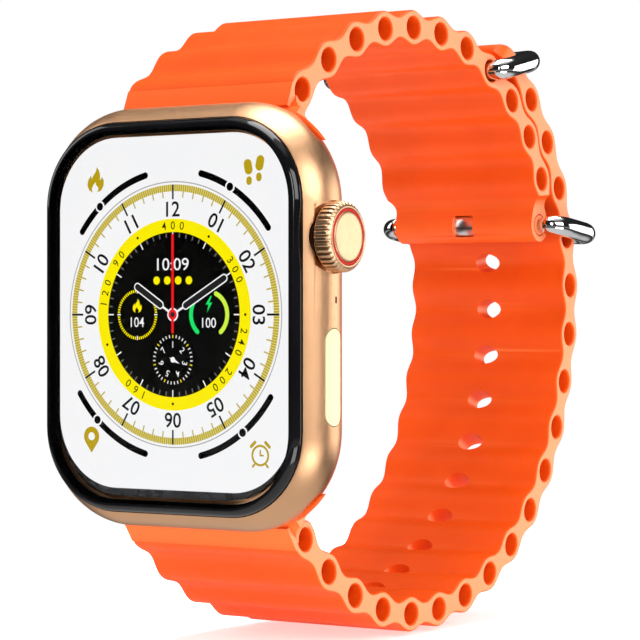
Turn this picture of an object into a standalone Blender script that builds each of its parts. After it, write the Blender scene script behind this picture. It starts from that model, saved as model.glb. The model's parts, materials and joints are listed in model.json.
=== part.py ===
"""Smart sports watch: rounded-rectangle case, crown, side button, and a ribbed silicone band closed by a buckle.

Frame: origin at the centre of the rear sensor window, +X to the crown side, +Z to 12 o'clock, and the display
faces -Y. The band makes a closed loop behind the case. All sizes below are in millimetres.
"""

import math

import bmesh
import bpy
from mathutils import Matrix, Vector

MM = 0.001

# Case: a slab with a full round edge.
CASE_WIDTH = 36.7
CASE_HEIGHT = 45.0
CASE_CORNER = 10.75
EDGE_RADIUS = 4.5
CASE_MID_Y = -5.85
CASE_FRONT_Y = CASE_MID_Y - EDGE_RADIUS
CASE_BACK_Y = CASE_MID_Y + EDGE_RADIUS
CORNER_STEPS = 6

# Front stack.
GLASS_WIDTH = 33.4
GLASS_HEIGHT = 41.5
GLASS_CORNER = 9.0
GLASS_FRONT_Y = -10.4
GLASS_BACK_Y = -9.1
GLASS_EDGE = 0.6
LEDGE_Y = -8.75
FIT_GAP = 0.15

# Inner pockets.
FRONT_POCKET = (31.2, 38.8, 8.6)
FRONT_POCKET_FLOOR_Y = -7.7
MAIN_POCKET = (28.0, 32.0, 10.0)
REAR_RECESS = (29.6, 34.4, 9.0)
REAR_RECESS_Y = -2.9

# Rear cover and sensor.
COVER_Y = (-2.6, -1.3)
WINDOW_RADIUS = 10.0
WINDOW_FLAT_RADIUS = 5.0
SCREW_X = 11.45
SCREW_Z = 13.75
SCREW_RADIUS = 0.4
SENSOR_CHIP = 1.8

# Crown.
CROWN_Z = 8.2
CROWN_RADIUS = 3.65
CROWN_BASE_X = 18.0
CROWN_FACE_X = 20.1
CROWN_SEAT_X = 16.8
CROWN_RECESS_X = 17.6
CROWN_TEETH = 36
TOOTH_DEPTH = 0.18
SHAFT_RADIUS = 0.9
BUSH_RADIUS = 1.7
FLANGE_RADIUS = 2.9
MICROPHONE_Z = 1.75
SPEAKER_SLOTS_Z = (-7.0, -4.6)
INLAY_OUTER = 2.9
INLAY_INNER = 2.46

# Side button.
BUTTON_Z = -6.2
BUTTON_LENGTH = 10.0
BUTTON_WIDTH = 2.7
BUTTON_BASE_X = 16.9
BUTTON_PROUD = 0.04

# Band loop, as a polar curve about LOOP_Y.
LOOP_Y = 23.45
BAND_WIDTH = 22.0
TUBE_HALF = 2.0
WEB_HALF = 1.2
BORE_RADIAL = 1.22
BORE_ALONG = 1.37
FIRST_TUBE_ANGLE = 135.5
BUCKLE_HALF_STEP = 10.35
BUCKLE_HALF_TUBES = 12
HOLE_HALF_STEP = 10.15
HOLE_HALF_TUBES = 19
HOLE_HALF_WIDTH = 1.73
HOLE_HALF_HEIGHT = 1.17
END_TUBE_HALF = 9.85
END_SHOULDER = 2.4
FIRST_HOLED_WEB = 5
TIP_ANGLE = 59.0
TAIL_HALF = 1.0
TAIL_STEPS = 5
TIP_CORNER = 2.6
KEEPER_TUBE = 7
INNER_RADIUS = 32.6
INNER_TURN_START = 75.0
INNER_TURN = 2.1
OUTER_RADIUS = 33.5
OUTER_SPIRAL_START = -14.0
OUTER_SPIRAL = 0.0385
TAIL_START = 47.0
TAIL_LIFT = 0.6
SAMPLES = 8
END_STEPS = 8
BORE_STEPS = 12

# Band lugs, in a slot that leaves the case at 45 degrees.
LUG_DEPTH = 2.1
LUG_RADIUS = 1.4
LUG_HALF_LENGTH = 18.0
LUG_PROUD = 0.3
NECK_FILLET = 1.6
NECK_HALF = 1.1
NECK_REACH = 3.2
SLOT_GAP = 0.25
LUG_OFFSET = (EDGE_RADIUS - LUG_DEPTH) * math.sqrt(0.5)
LUG_Y = CASE_MID_Y + LUG_OFFSET
LUG_Z = CASE_HEIGHT / 2 - EDGE_RADIUS + LUG_OFFSET

# Band release buttons and the latches they push.
RELEASE_Z = 19.0
RELEASE_LENGTH = 6.0
RELEASE_HEIGHT = 1.3
LATCH_RADIUS = 0.4

# Buckle and keeper rings.
RING_ROD = 1.25
RING_STUB = 0.95
RING_ARM_X = 12.4
RING_STUB_X = 8.6
RING_CORNER = 2.8
PIN_RADIUS = 0.55
BUCKLE_REACH = 9.2
BUCKLE_TILT = -6.5
KEEPER_REACH = 9.05
KEEPER_TILT = 13.0
TONGUE_ROD = 0.5
WINDOW_WIDTH = 3.2

PARTS = bpy.data.collections.new("running_watch")
CUTTERS = bpy.data.collections.new("cutters")
MATERIALS = {}

# Turns that stand a flat outline up: seen from the front (X, Z), or from the crown side (Y, Z).
QUARTER = math.pi / 2
FACING_FRONT = (QUARTER, 0, 0)
FACING_SIDE = (QUARTER, 0, QUARTER)


def clear_scene():
    for obj in list(bpy.data.objects):
        bpy.data.objects.remove(obj)
    bpy.context.scene.collection.children.link(PARTS)
    bpy.context.scene.collection.children.link(CUTTERS)


def make_material(name, colour, roughness, metallic):
    made = bpy.data.materials.new(name)
    made.use_nodes = True
    shader = made.node_tree.nodes["Principled BSDF"]
    shader.inputs["Base Color"].default_value = (*colour, 1)
    shader.inputs["Roughness"].default_value = roughness
    shader.inputs["Metallic"].default_value = metallic
    MATERIALS[name] = made


def make_materials():
    make_material("gold_aluminium", (0.85, 0.62, 0.42), 0.35, 1.0)
    make_material("crown_gold", (0.83, 0.62, 0.38), 0.3, 1.0)
    make_material("cream_button", (0.98, 0.93, 0.68), 0.4, 0.2)
    make_material("red_inlay", (0.62, 0.04, 0.02), 0.35, 0.0)
    make_material("black_glass", (0.01, 0.01, 0.012), 0.08, 0.0)
    make_material("display", (0.9, 0.9, 0.9), 0.2, 0.0)
    make_material("orange_silicone", (1.0, 0.15, 0.015), 0.45, 0.0)
    make_material("polished_steel", (0.75, 0.75, 0.77), 0.08, 1.0)
    make_material("steel", (0.55, 0.55, 0.56), 0.35, 1.0)
    make_material("black_plastic", (0.03, 0.03, 0.03), 0.45, 0.0)
    make_material("seal_rubber", (0.05, 0.05, 0.05), 0.7, 0.0)
    make_material("circuit_board", (0.02, 0.16, 0.08), 0.5, 0.0)
    make_material("battery_wrap", (0.25, 0.26, 0.28), 0.5, 0.3)
    make_material("copper", (0.72, 0.36, 0.2), 0.35, 1.0)
    make_material("flex_film", (0.6, 0.32, 0.06), 0.5, 0.0)
    make_material("led_lens", (0.3, 0.9, 0.4), 0.2, 0.0)


def as_object(name, mesh, material=None):
    """Links a mesh as a part, or as a hidden cutter when it has no material."""
    obj = bpy.data.objects.new(name, mesh)
    if material is None:
        CUTTERS.objects.link(obj)
        obj.hide_render = True
        obj.display_type = "WIRE"
    else:
        PARTS.objects.link(obj)
        mesh.materials.clear()
        mesh.materials.append(MATERIALS[material])
        mesh.shade_smooth()
        mesh.set_sharp_from_angle(angle=math.radians(35))
    return obj


def mesh_of(source, name):
    """The evaluated mesh of a curve object, with its caps welded; the curve is removed."""
    bpy.context.scene.collection.objects.link(source)
    bpy.context.view_layer.update()
    evaluated = source.evaluated_get(bpy.context.evaluated_depsgraph_get())
    mesh = bpy.data.meshes.new_from_object(evaluated)
    mesh.name = name
    bpy.data.objects.remove(source)
    bm = bmesh.new()
    bm.from_mesh(mesh)
    bmesh.ops.remove_doubles(bm, verts=bm.verts, dist=1e-6)
    bmesh.ops.recalc_face_normals(bm, faces=bm.faces)
    bm.to_mesh(mesh)
    bm.free()
    return mesh


def flat_curve(loops, half_depth, bevel=0.0, bevel_steps=0):
    curve = bpy.data.curves.new("outline", "CURVE")
    curve.dimensions = "2D"
    curve.fill_mode = "BOTH"
    curve.extrude = half_depth * MM
    curve.bevel_depth = bevel * MM
    curve.bevel_resolution = bevel_steps
    for loop in loops:
        spline = curve.splines.new("POLY")
        spline.points.add(len(loop) - 1)
        for point, (u, v) in zip(spline.points, loop):
            point.co = (u * MM, v * MM, 0, 1)
        spline.use_cyclic_u = True
    return bpy.data.objects.new("outline", curve)


def put(obj, place, turn=(0, 0, 0)):
    """Places an object, with its place in millimetres."""
    obj.location = Vector(place) * MM
    obj.rotation_euler = turn
    return obj


def plate(name, loops, low, high, facing, material=None, bevel=0.0, bevel_steps=0, origin=(0, 0)):
    """Flat outlines (the first is the rim, the rest are holes) made solid from low to high along the facing's axis.

    The outlines are drawn from origin. A bevel grows them outwards by its own depth, inside low to high.
    """
    centre = (high + low) / 2
    mesh = mesh_of(flat_curve(loops, (high - low) / 2 - bevel, bevel, bevel_steps), name)
    place = (origin[0], centre, origin[1]) if facing is FACING_FRONT else (centre, *origin)
    return put(as_object(name, mesh, material), place, facing)


def arc(centre, radius, start, end, steps):
    """Points on a circle from start to end, in degrees, both ends included."""
    found = []
    for i in range(steps + 1):
        angle = math.radians(start + (end - start) * i / steps)
        found.append((centre[0] + radius * math.cos(angle), centre[1] + radius * math.sin(angle)))
    return found


def rounded(width, height, corner, centre=(0, 0), steps=CORNER_STEPS):
    """A rounded rectangle as a closed loop of points."""
    across = width / 2 - corner
    up = height / 2 - corner
    corners = ((across, up, 0), (-across, up, 90), (-across, -up, 180), (across, -up, 270))
    found = []
    for u, v, start in corners:
        found += arc((centre[0] + u, centre[1] + v), corner, start, start + 90, steps)
    keep = []
    for point in found:
        if not keep or math.dist(point, keep[-1]) > 1e-6:
            keep.append(point)
    if math.dist(keep[0], keep[-1]) < 1e-6:
        keep.pop()
    return keep


def circle(radius, centre=(0, 0), steps=24):
    return arc(centre, radius, 0, 360 - 360 / steps, steps - 1)


def slab(name, size, low, high, material=None, centre=(0, 0), holes=(), bevel=0.0, bevel_steps=0):
    """A rounded-rectangle plate facing the front: size is (width, height, corner)."""
    width, height, corner = size
    rim = rounded(width - 2 * bevel, height - 2 * bevel, corner - bevel, centre)
    return plate(name, [rim, *holes], low, high, FACING_FRONT, material, bevel, bevel_steps)


def block(name, low, high, material=None, bevel=0.0):
    """A box between two corners, with an optional small bevel on its edges."""
    size = [(b - a) * MM for a, b in zip(low, high)]
    bm = bmesh.new()
    bmesh.ops.create_cube(bm, size=1, matrix=Matrix.Diagonal((*size, 1)))
    mesh = bpy.data.meshes.new(name)
    bm.to_mesh(mesh)
    bm.free()
    obj = put(as_object(name, mesh, material), [(a + b) / 2 for a, b in zip(low, high)])
    if bevel:
        edge = obj.modifiers.new("edge", "BEVEL")
        edge.width = bevel * MM
        edge.segments = 1
        edge.limit_method = "NONE"
    return obj


def rod(name, start, end, radius, material=None, steps=16):
    """A cylinder between two points."""
    a = Vector(start)
    b = Vector(end)
    bm = bmesh.new()
    bmesh.ops.create_cone(
        bm,
        cap_ends=True,
        segments=steps,
        radius1=radius * MM,
        radius2=radius * MM,
        depth=(b - a).length * MM,
    )
    mesh = bpy.data.meshes.new(name)
    bm.to_mesh(mesh)
    bm.free()
    turn = (b - a).to_track_quat("Z", "Y").to_euler()
    return put(as_object(name, mesh, material), (a + b) / 2, turn)


def turned(name, profile, axis, centre, material=None, steps=24):
    """A profile of (radius, along) points, listed up its outer side, turned about the X or Y axis through centre.

    A profile that starts and ends on the axis stays open there; any other one is closed into a ring.
    """
    points = [(radius * MM, 0, along * MM) for radius, along in reversed(profile)]
    edges = [(i, i + 1) for i in range(len(points) - 1)]
    if profile[0][0] > 0:
        edges.append((len(points) - 1, 0))
    mesh = bpy.data.meshes.new(name)
    mesh.from_pydata(points, edges, [])
    turn = (0, QUARTER, 0) if axis == "X" else (-QUARTER, 0, 0)
    obj = put(as_object(name, mesh, material), centre, turn)
    screw = obj.modifiers.new("turn", "SCREW")
    screw.axis = "Z"
    screw.angle = math.tau
    screw.steps = steps
    screw.render_steps = steps
    screw.use_merge_vertices = True
    screw.merge_threshold = 1e-6
    return obj


def combine(target, other, operation):
    modifier = target.modifiers.new(other.name, "BOOLEAN")
    modifier.operation = operation
    modifier.object = other
    return target


def cut(target, *cutters):
    """Cuts every cutter out of target, and welds the edges that the cuts leave."""
    for cutter in cutters:
        combine(target, cutter, "DIFFERENCE")
    weld = target.modifiers.new("weld", "WELD")
    weld.merge_threshold = 2e-6
    return target


# Case and what it holds.


def slot_cutters(side):
    """The lug channel and its mouth, for the upper (1) or lower (-1) end of the case."""
    end = 25.0
    z = side * LUG_Z
    channel = rod(f"channel_{side}", (-end, LUG_Y, z), (end, LUG_Y, z), LUG_RADIUS + SLOT_GAP, steps=20)
    half = NECK_HALF + SLOT_GAP
    outline = [(0, -half), (5, -half), (5, half), (0, half)]
    mouth = plate(f"mouth_{side}", [outline], -end, end, FACING_SIDE, origin=(LUG_Y, z))
    mouth.rotation_euler.rotate_axis("Z", side * QUARTER / 2)
    return channel, mouth


def case_cutters():
    y = CASE_MID_Y
    glass_size = (GLASS_WIDTH + 2 * FIT_GAP, GLASS_HEIGHT + 2 * FIT_GAP, GLASS_CORNER + FIT_GAP)
    yield slab("glass_recess", glass_size, -13, LEDGE_Y)
    yield slab("front_pocket", FRONT_POCKET, -12, FRONT_POCKET_FLOOR_Y)
    yield slab("main_pocket", MAIN_POCKET, -11, 1)
    yield slab("rear_recess", REAR_RECESS, REAR_RECESS_Y, 2)
    yield rod("crown_bore", (10, y, CROWN_Z), (22, y, CROWN_Z), BUSH_RADIUS + 0.1, steps=20)
    yield rod("bush_seat", (CROWN_SEAT_X, y, CROWN_Z), (22, y, CROWN_Z), FLANGE_RADIUS + 0.1, steps=24)
    yield rod("crown_recess", (CROWN_RECESS_X, y, CROWN_Z), (22, y, CROWN_Z), CROWN_RADIUS + 0.15, steps=32)
    pocket = [button_outline(FIT_GAP)]
    yield plate("button_pocket", pocket, BUTTON_BASE_X - 0.4, 21, FACING_SIDE, origin=(y, BUTTON_Z))
    yield rod("button_bore", (12, y, BUTTON_Z), (18, y, BUTTON_Z), 0.9, steps=14)
    yield rod("microphone_hole", (12, y, MICROPHONE_Z), (20, y, MICROPHONE_Z), 0.32, steps=10)
    for z in SPEAKER_SLOTS_Z:
        outline = rounded(0.9, 1.9, 0.45, steps=3)
        yield plate("speaker_slot", [outline], -20, -12, FACING_SIDE, origin=(y, z))
    for side in (1, -1):
        yield from slot_cutters(side)
        outline = release_outline(0.12)
        origin = (0, side * RELEASE_Z)
        yield plate("release_pocket", [outline], -3.6, 0, FACING_FRONT, origin=origin)
        for x in (-SCREW_X, SCREW_X):
            z = side * SCREW_Z
            yield rod("screw_hole", (x, -6.0, z), (x, 0, z), SCREW_RADIUS + 0.15, steps=12)


def case_shell():
    shell = slab(
        "case_shell",
        (CASE_WIDTH, CASE_HEIGHT, CASE_CORNER),
        CASE_FRONT_Y,
        CASE_BACK_Y,
        "gold_aluminium",
        bevel=EDGE_RADIUS - 1e-4,
        bevel_steps=4,
    )
    return cut(shell, *case_cutters())


def front_stack():
    slab(
        "cover_glass",
        (GLASS_WIDTH, GLASS_HEIGHT, GLASS_CORNER),
        GLASS_FRONT_Y,
        GLASS_BACK_Y,
        "black_glass",
        bevel=GLASS_EDGE,
        bevel_steps=2,
    )
    gasket_hole = rounded(31.8, 39.4, 8.1)
    slab("glass_gasket", (33.0, 41.1, 8.8), -9.0, -8.85, "seal_rubber", holes=[gasket_hole])
    slab("display_panel", (30.8, 38.2, 8.2), -8.95, -8.3, "display")
    slab("display_bracket", (30.8, 38.2, 8.2), -8.15, -7.85, "steel")


def screw_places():
    return [(x, z) for x in (-SCREW_X, SCREW_X) for z in (SCREW_Z, -SCREW_Z)]


def rear_stack():
    holes = [circle(WINDOW_RADIUS + FIT_GAP, steps=32)]
    holes += [circle(SCREW_RADIUS + 0.15, place, 12) for place in screw_places()]
    slab("rear_cover", (29.2, 34.0, 8.8), *COVER_Y, "black_plastic", holes=holes)
    slab("rear_gasket", (29.2, 34.0, 8.8), -2.87, -2.7, "seal_rubber", holes=[rounded(28.2, 33.0, 8.3)])
    dome = [(0, -2.4), (WINDOW_RADIUS, -2.4), (WINDOW_RADIUS, -1.25), (8.8, -0.62), (7.0, -0.17)]
    dome += [(WINDOW_FLAT_RADIUS, 0), (0, 0)]
    turned("sensor_window", dome, "Y", (0, 0, 0), "black_glass", 32)
    rod("sensor_board", (0, -3.35, 0), (0, -2.95, 0), 8.5, "circuit_board", 28)
    half = SENSOR_CHIP / 2
    for name, x, z, material in (
        ("green_led_upper", 0, 1.8, "led_lens"),
        ("green_led_lower", 0, -1.8, "led_lens"),
        ("photodiode_left", -4.2, 0, "black_plastic"),
        ("photodiode_right", 4.2, 0, "black_plastic"),
    ):
        block(name, (x - half, -2.85, z - half), (x + half, -2.5, z + half), material)
    coil = [(9.0, -3.3), (12.4, -3.3), (12.4, -2.95), (9.0, -2.95)]
    turned("charging_coil", coil, "Y", (0, 0, 0), "copper", 28)
    screw = [(0, -5.6), (SCREW_RADIUS, -5.6), (SCREW_RADIUS, -1.2), (0.8, -1.2), (0.8, -0.95), (0, -0.95)]
    for number, (x, z) in enumerate(screw_places(), 1):
        turned(f"rear_screw_{number}", screw, "Y", (x, 0, z), "steel", 12)


def electronics():
    block("battery", (-12.2, -7.4, -0.4), (7.2, -3.6, 11.0), "battery_wrap", 0.5)
    block("main_board", (-11.2, -7.4, -12.4), (11.2, -6.8, -1.2), "circuit_board")
    block("system_chip", (0.2, -6.6, -11.2), (7.8, -5.8, -4.2), "black_plastic")
    can = block("shield_can", (-0.8, -6.6, -12.4), (8.8, -5.2, -3.2), "steel")
    cut(can, block("can_hollow", (-0.5, -7.0, -12.1), (8.5, -5.5, -3.5)))
    block("vibration_motor", (-10.8, -6.5, -12.4), (-2.0, -3.6, -8.6), "steel", 0.3)
    block("speaker_module", (-13.2, -6.5, -8.2), (-7.6, -3.7, -3.4), "black_plastic", 0.2)
    block("microphone", (11.2, -6.6, 0.4), (13.7, -5.2, 2.8), "steel")
    block("display_flex", (-4.0, -7.7, -12.6), (4.0, -7.55, 2.0), "flex_film")
    block("battery_flex", (-6.0, -6.6, -2.9), (-1.6, -6.45, -0.6), "flex_film")
    block("sensor_flex", (-2.4, -3.55, -13.6), (2.4, -3.42, -2.0), "flex_film")


# Crown and side button.


def crown():
    centre = (0, CASE_MID_Y, CROWN_Z)
    seat = CROWN_SEAT_X + 0.1
    rim = CROWN_RECESS_X - 0.05
    bush = [(1.1, 13.2), (BUSH_RADIUS, 13.2), (BUSH_RADIUS, seat), (FLANGE_RADIUS, seat)]
    bush += [(FLANGE_RADIUS, rim), (1.1, rim)]
    turned("crown_bush", bush, "X", centre, "steel", 24)
    shaft_ends = ((10.9, *centre[1:]), (CROWN_BASE_X + 0.5, *centre[1:]))
    rod("crown_shaft", *shaft_ends, SHAFT_RADIUS, "steel", 18)
    seal = [(0.95, CROWN_BASE_X - 0.05), (1.5, CROWN_BASE_X - 0.05), (1.5, CROWN_BASE_X + 0.3)]
    seal.append((0.95, CROWN_BASE_X + 0.3))
    turned("crown_seal", seal, "X", centre, "seal_rubber", 18)
    wheel = [(1.1, 11.7), (1.7, 11.7), (1.7, 12.9), (1.1, 12.9)]
    turned("encoder_wheel", wheel, "X", centre, "black_plastic", 20)
    block("encoder_sensor", (11.4, -3.85, 7.2), (13.2, -3.4, 9.2), "black_plastic")
    block("crown_switch", (8.6, -7.0, 7.0), (10.3, -4.8, 9.4), "steel", 0.15)
    crown_knob(centre)
    low = CROWN_FACE_X - 0.4
    high = CROWN_FACE_X - 0.05
    inlay = [(INLAY_INNER, low), (INLAY_OUTER, low), (INLAY_OUTER, high), (INLAY_INNER, high)]
    turned("crown_inlay", inlay, "X", centre, "red_inlay", 32)


def crown_knob(centre):
    """A gear-like grip whose outer end is turned down to a smooth face with a groove for the inlay."""
    grip = []
    for i in range(CROWN_TEETH):
        for part, radius in ((0.0, CROWN_RADIUS - TOOTH_DEPTH), (0.25, CROWN_RADIUS), (0.6, CROWN_RADIUS)):
            angle = math.tau * (i + part) / CROWN_TEETH
            grip.append((radius * math.cos(angle), radius * math.sin(angle)))
    base = CROWN_BASE_X
    face = CROWN_FACE_X
    knob = plate("crown_knob", [grip], base, face, FACING_SIDE, "crown_gold", origin=centre[1:])
    outside = CROWN_RADIUS + 0.1
    envelope = [(0, base - 0.4), (CROWN_RADIUS - 0.3, base - 0.4), (outside, base + 0.4)]
    envelope += [(outside, face - 0.9), (3.3, face - 0.15), (3.15, face), (0, face)]
    combine(knob, turned("knob_envelope", envelope, "X", centre, None, 36), "INTERSECT")
    inner = INLAY_INNER - 0.08
    outer = INLAY_OUTER + 0.08
    floor = face - 0.55
    groove = [(inner, floor), (outer, floor), (outer, face + 0.5), (inner, face + 0.5)]
    bore = rod("knob_bore", (base - 0.4, *centre[1:]), (base + 0.8, *centre[1:]), 1.7, steps=20)
    return cut(knob, turned("inlay_groove", groove, "X", centre, None, 32), bore)


def button_outline(grow):
    """The pill shape of the side button, a little wider all round."""
    width = BUTTON_WIDTH + 2 * grow
    return rounded(width, BUTTON_LENGTH + 2 * grow, width / 2 - 0.01)


def side_button():
    """A pill that follows the case's round side, its stem through a seal, and the switch it presses."""
    y = CASE_MID_Y
    centre = (y, BUTTON_Z)
    pill = [button_outline(0)]
    button = plate("side_button", pill, BUTTON_BASE_X, 20, FACING_SIDE, "cream_button", origin=centre)
    edge_x = CASE_WIDTH / 2 - EDGE_RADIUS
    face = rod("button_face", (edge_x, y, -15), (edge_x, y, 2), EDGE_RADIUS + BUTTON_PROUD, steps=64)
    combine(button, face, "INTERSECT")
    rod("button_stem", (13.55, *centre), (BUTTON_BASE_X - 0.02, *centre), 0.55, "steel", 12)
    seal = [(0.64, 15.0), (0.86, 15.0), (0.86, 15.6), (0.64, 15.6)]
    turned("button_seal", seal, "X", (0, *centre), "seal_rubber", 14)
    block("button_switch", (11.6, -6.9, BUTTON_Z - 1.3), (13.2, -4.8, BUTTON_Z + 1.3), "steel", 0.15)


# Band lugs, release buttons and latches.


def release_outline(grow):
    height = RELEASE_HEIGHT + 2 * grow
    return rounded(RELEASE_LENGTH + 2 * grow, height, height / 2 - 0.01, steps=4)


def neck_outline():
    """The narrow neck outside the case, in its own plane, with a fillet where it meets the wide lug."""
    edge = BAND_WIDTH / 2
    fillet = arc((edge + NECK_FILLET, NECK_REACH), NECK_FILLET, 240, 180, 4)
    right = [(fillet[0][0], 0.2), *fillet]
    return right + [(-x, v) for x, v in reversed(right)]


def lug(name, side):
    """A round bar and a flat blade that follow the case's outline, with a narrow neck out to the band."""
    z = side * LUG_Z
    ends = ((-LUG_HALF_LENGTH, LUG_Y, z), (LUG_HALF_LENGTH, LUG_Y, z))
    bar = rod(name, *ends, LUG_RADIUS, "orange_silicone", 20)
    wide = [(-LUG_HALF_LENGTH, 0), (LUG_HALF_LENGTH, 0), (LUG_HALF_LENGTH, 4), (-LUG_HALF_LENGTH, 4)]
    blade, neck = (
        put(as_object(part, mesh_of(flat_curve([outline], NECK_HALF), part)), (0, LUG_Y, z), (tilt, 0, 0))
        for part, outline, tilt in (
            (f"blade_{name}", wide, side * QUARTER / 2),
            (f"neck_{name}", neck_outline(), side * QUARTER / 2),
        )
    )
    grow = 2 * LUG_PROUD
    envelope = slab(
        f"envelope_{name}",
        (CASE_WIDTH + grow, CASE_HEIGHT + grow, CASE_CORNER + LUG_PROUD),
        CASE_FRONT_Y - LUG_PROUD,
        CASE_BACK_Y + LUG_PROUD,
        bevel=EDGE_RADIUS + LUG_PROUD - 1e-4,
        bevel_steps=4,
    )
    combine(bar, blade, "UNION")
    combine(bar, envelope, "INTERSECT")
    combine(bar, neck, "UNION")
    z = side * RELEASE_Z
    return cut(bar, rod(f"pocket_{name}", (0, -5.1, z), (0, -2.5, z), LATCH_RADIUS + 0.15, steps=12))


def lugs_and_latches():
    for name, side in (("upper", 1), ("lower", -1)):
        lug(f"band_lug_{name}", side)
        z = side * RELEASE_Z
        rod(f"latch_pin_{name}", (0, -4.3, z), (0, -3.0, z), LATCH_RADIUS, "steel", 10)
        outline = release_outline(0)
        button = f"release_button_{name}"
        plate(button, [outline], -2.3, -1.6, FACING_FRONT, "gold_aluminium", origin=(0, z))


# Band halves.


def buckle_half_middle(angle):
    """The buckle half's middle line: round, but turning in towards the wrist at its free end."""
    last = FIRST_TUBE_ANGLE - BUCKLE_HALF_STEP * (BUCKLE_HALF_TUBES - 1)
    turn_in = max(INNER_TURN_START - angle, 0) / (INNER_TURN_START - last)
    opening = max(angle - 90, 0) / (FIRST_TUBE_ANGLE - 90)
    return on_loop(angle, INNER_RADIUS + 1.6 * opening**1.3 - INNER_TURN * turn_in**4.2)


def hole_half_middle(angle):
    """The middle line of the half with holes: it spirals out over the buckle half, and its tail lifts a little."""
    lift = TAIL_LIFT * (max(angle - TAIL_START, 0) / (TIP_ANGLE - TAIL_START)) ** 2
    return on_loop(angle, OUTER_RADIUS + OUTER_SPIRAL * max(angle - OUTER_SPIRAL_START, 0) + lift)


def on_loop(angle, radius):
    turn = math.radians(angle)
    return Vector((radius * math.cos(turn), radius * math.sin(turn)))


def frame_on(middle, angle):
    """The point of a middle line at an angle, with its outward and along directions there."""
    point = middle(angle)
    along = (middle(angle + 0.1) - middle(angle - 0.1)).normalized()
    return point, Vector((along.y, -along.x)), along


def half_thickness(phase):
    """Half the band's thickness: thick at a tube (phase 0) and thin at the web between two (phase pi)."""
    return (TUBE_HALF + WEB_HALF) / 2 + (TUBE_HALF - WEB_HALF) / 2 * math.cos(phase)


def round_end(middle, angle, half, sign):
    """A half circle past an end of the band, from its outer side to its inner side."""
    point, out, along = frame_on(middle, angle)
    turns = [math.pi * i / END_STEPS for i in range(1, END_STEPS)]
    return [point + half * (out * math.cos(t) + along * sign * math.sin(t)) for t in turns]


def band_outline(middle, first, step, count, tip=None):
    """The side view of a band half: a rib round each tube, webs between, and a round end at each end.

    The tubes stand at first, first + step and so on. With a tip angle, a plain tail follows the last rib.
    """
    last = first + step * (count - 1)
    steps = SAMPLES * (count - 1)
    angles = [first + step * i / SAMPLES for i in range(steps + 1)]
    halves = [half_thickness(math.tau * i / SAMPLES) for i in range(steps + 1)]
    if tip is not None:
        tail = SAMPLES // 2
        angles += [last + step * i / SAMPLES for i in range(1, tail + 1)]
        halves += [half_thickness(math.tau * i / SAMPLES) for i in range(1, tail + 1)]
        rest = (tip - angles[-1]) / TAIL_STEPS
        angles += [angles[-1] + rest * i for i in range(1, TAIL_STEPS + 1)]
        halves += [TAIL_HALF] * TAIL_STEPS
    outer = []
    inner = []
    for angle, half in zip(angles, halves):
        point, out, _ = frame_on(middle, angle)
        outer.append(point + out * half)
        inner.append(point - out * half)
    forward = math.copysign(1, step)
    finish = round_end(middle, angles[-1], halves[-1], forward)
    start = round_end(middle, first, TUBE_HALF, -forward)
    return [tuple(p) for p in outer + finish + inner[::-1] + start[::-1]]


def tube_bores(middle, first, step, count):
    loops = []
    for i in range(count):
        centre, out, along = frame_on(middle, first + step * i)
        ring = circle(1, steps=BORE_STEPS)
        loops.append([tuple(centre + out * u * BORE_RADIAL + along * v * BORE_ALONG) for u, v in ring])
    return loops


def band_half(name, middle, first, step, count, tip=None):
    loops = [band_outline(middle, first, step, count, tip), *tube_bores(middle, first, step, count)]
    half_width = BAND_WIDTH / 2
    return plate(name, loops, -half_width, half_width, FACING_SIDE, "orange_silicone", origin=(LOOP_Y, 0))


def tube_axis(tube):
    """The Y and Z of a tube's axis on the buckle half."""
    y, z = buckle_half_middle(FIRST_TUBE_ANGLE - BUCKLE_HALF_STEP * tube)
    return LOOP_Y + y, z


def band():
    half = band_half(
        "band_buckle_half", buckle_half_middle, FIRST_TUBE_ANGLE, -BUCKLE_HALF_STEP, BUCKLE_HALF_TUBES
    )
    y, z = tube_axis(BUCKLE_HALF_TUBES - 1)
    across = WINDOW_WIDTH / 2
    front = block("window_front", (-across, y - 4, z - 1.25), (across, y, z + 1.25))
    back = block("window_back", (-across, y - 0.5, z - 1.2), (across, y + 4, z + 1.7))
    cut(half, front, back, *(end_shoulder(side) for side in (1, -1)))
    holed = band_half(
        "band_hole_half", hole_half_middle, -FIRST_TUBE_ANGLE, HOLE_HALF_STEP, HOLE_HALF_TUBES, TIP_ANGLE
    )
    cutters = [tip_cutter()]
    outline = [(HOLE_HALF_WIDTH * u, HOLE_HALF_HEIGHT * v) for u, v in circle(1, steps=12)]
    for web in range(FIRST_HOLED_WEB, HOLE_HALF_TUBES - 1):
        angle = -FIRST_TUBE_ANGLE + HOLE_HALF_STEP * (web + 0.5)
        cutters.append(through_band(f"hole_{web}", hole_half_middle, angle, outline))
    cut(holed, *cutters)


def through_band(name, middle, angle, outline):
    """A cutter through the band's thickness, from an outline of (across, along) points about a middle line."""
    point, _, along = frame_on(middle, angle)
    mesh = mesh_of(flat_curve([outline], 3), name)
    return put(as_object(name, mesh), (0, LOOP_Y + point.x, point.y), (math.atan2(along.y, along.x), 0, 0))


def end_shoulder(side):
    """What the last tube of the buckle half lacks at one end, so that it is shorter than the band is wide."""
    angle = FIRST_TUBE_ANGLE - BUCKLE_HALF_STEP * (BUCKLE_HALF_TUBES - 1)
    shoulder = arc((END_TUBE_HALF + END_SHOULDER, 1.6), END_SHOULDER, 180, 115, 5)
    outline = [(BAND_WIDTH, -4), (END_TUBE_HALF, -4), *shoulder, (BAND_WIDTH, shoulder[-1][1])]
    outline = [(side * u, v) for u, v in outline]
    return through_band(f"end_shoulder_{side}", buckle_half_middle, angle, outline)


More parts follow.
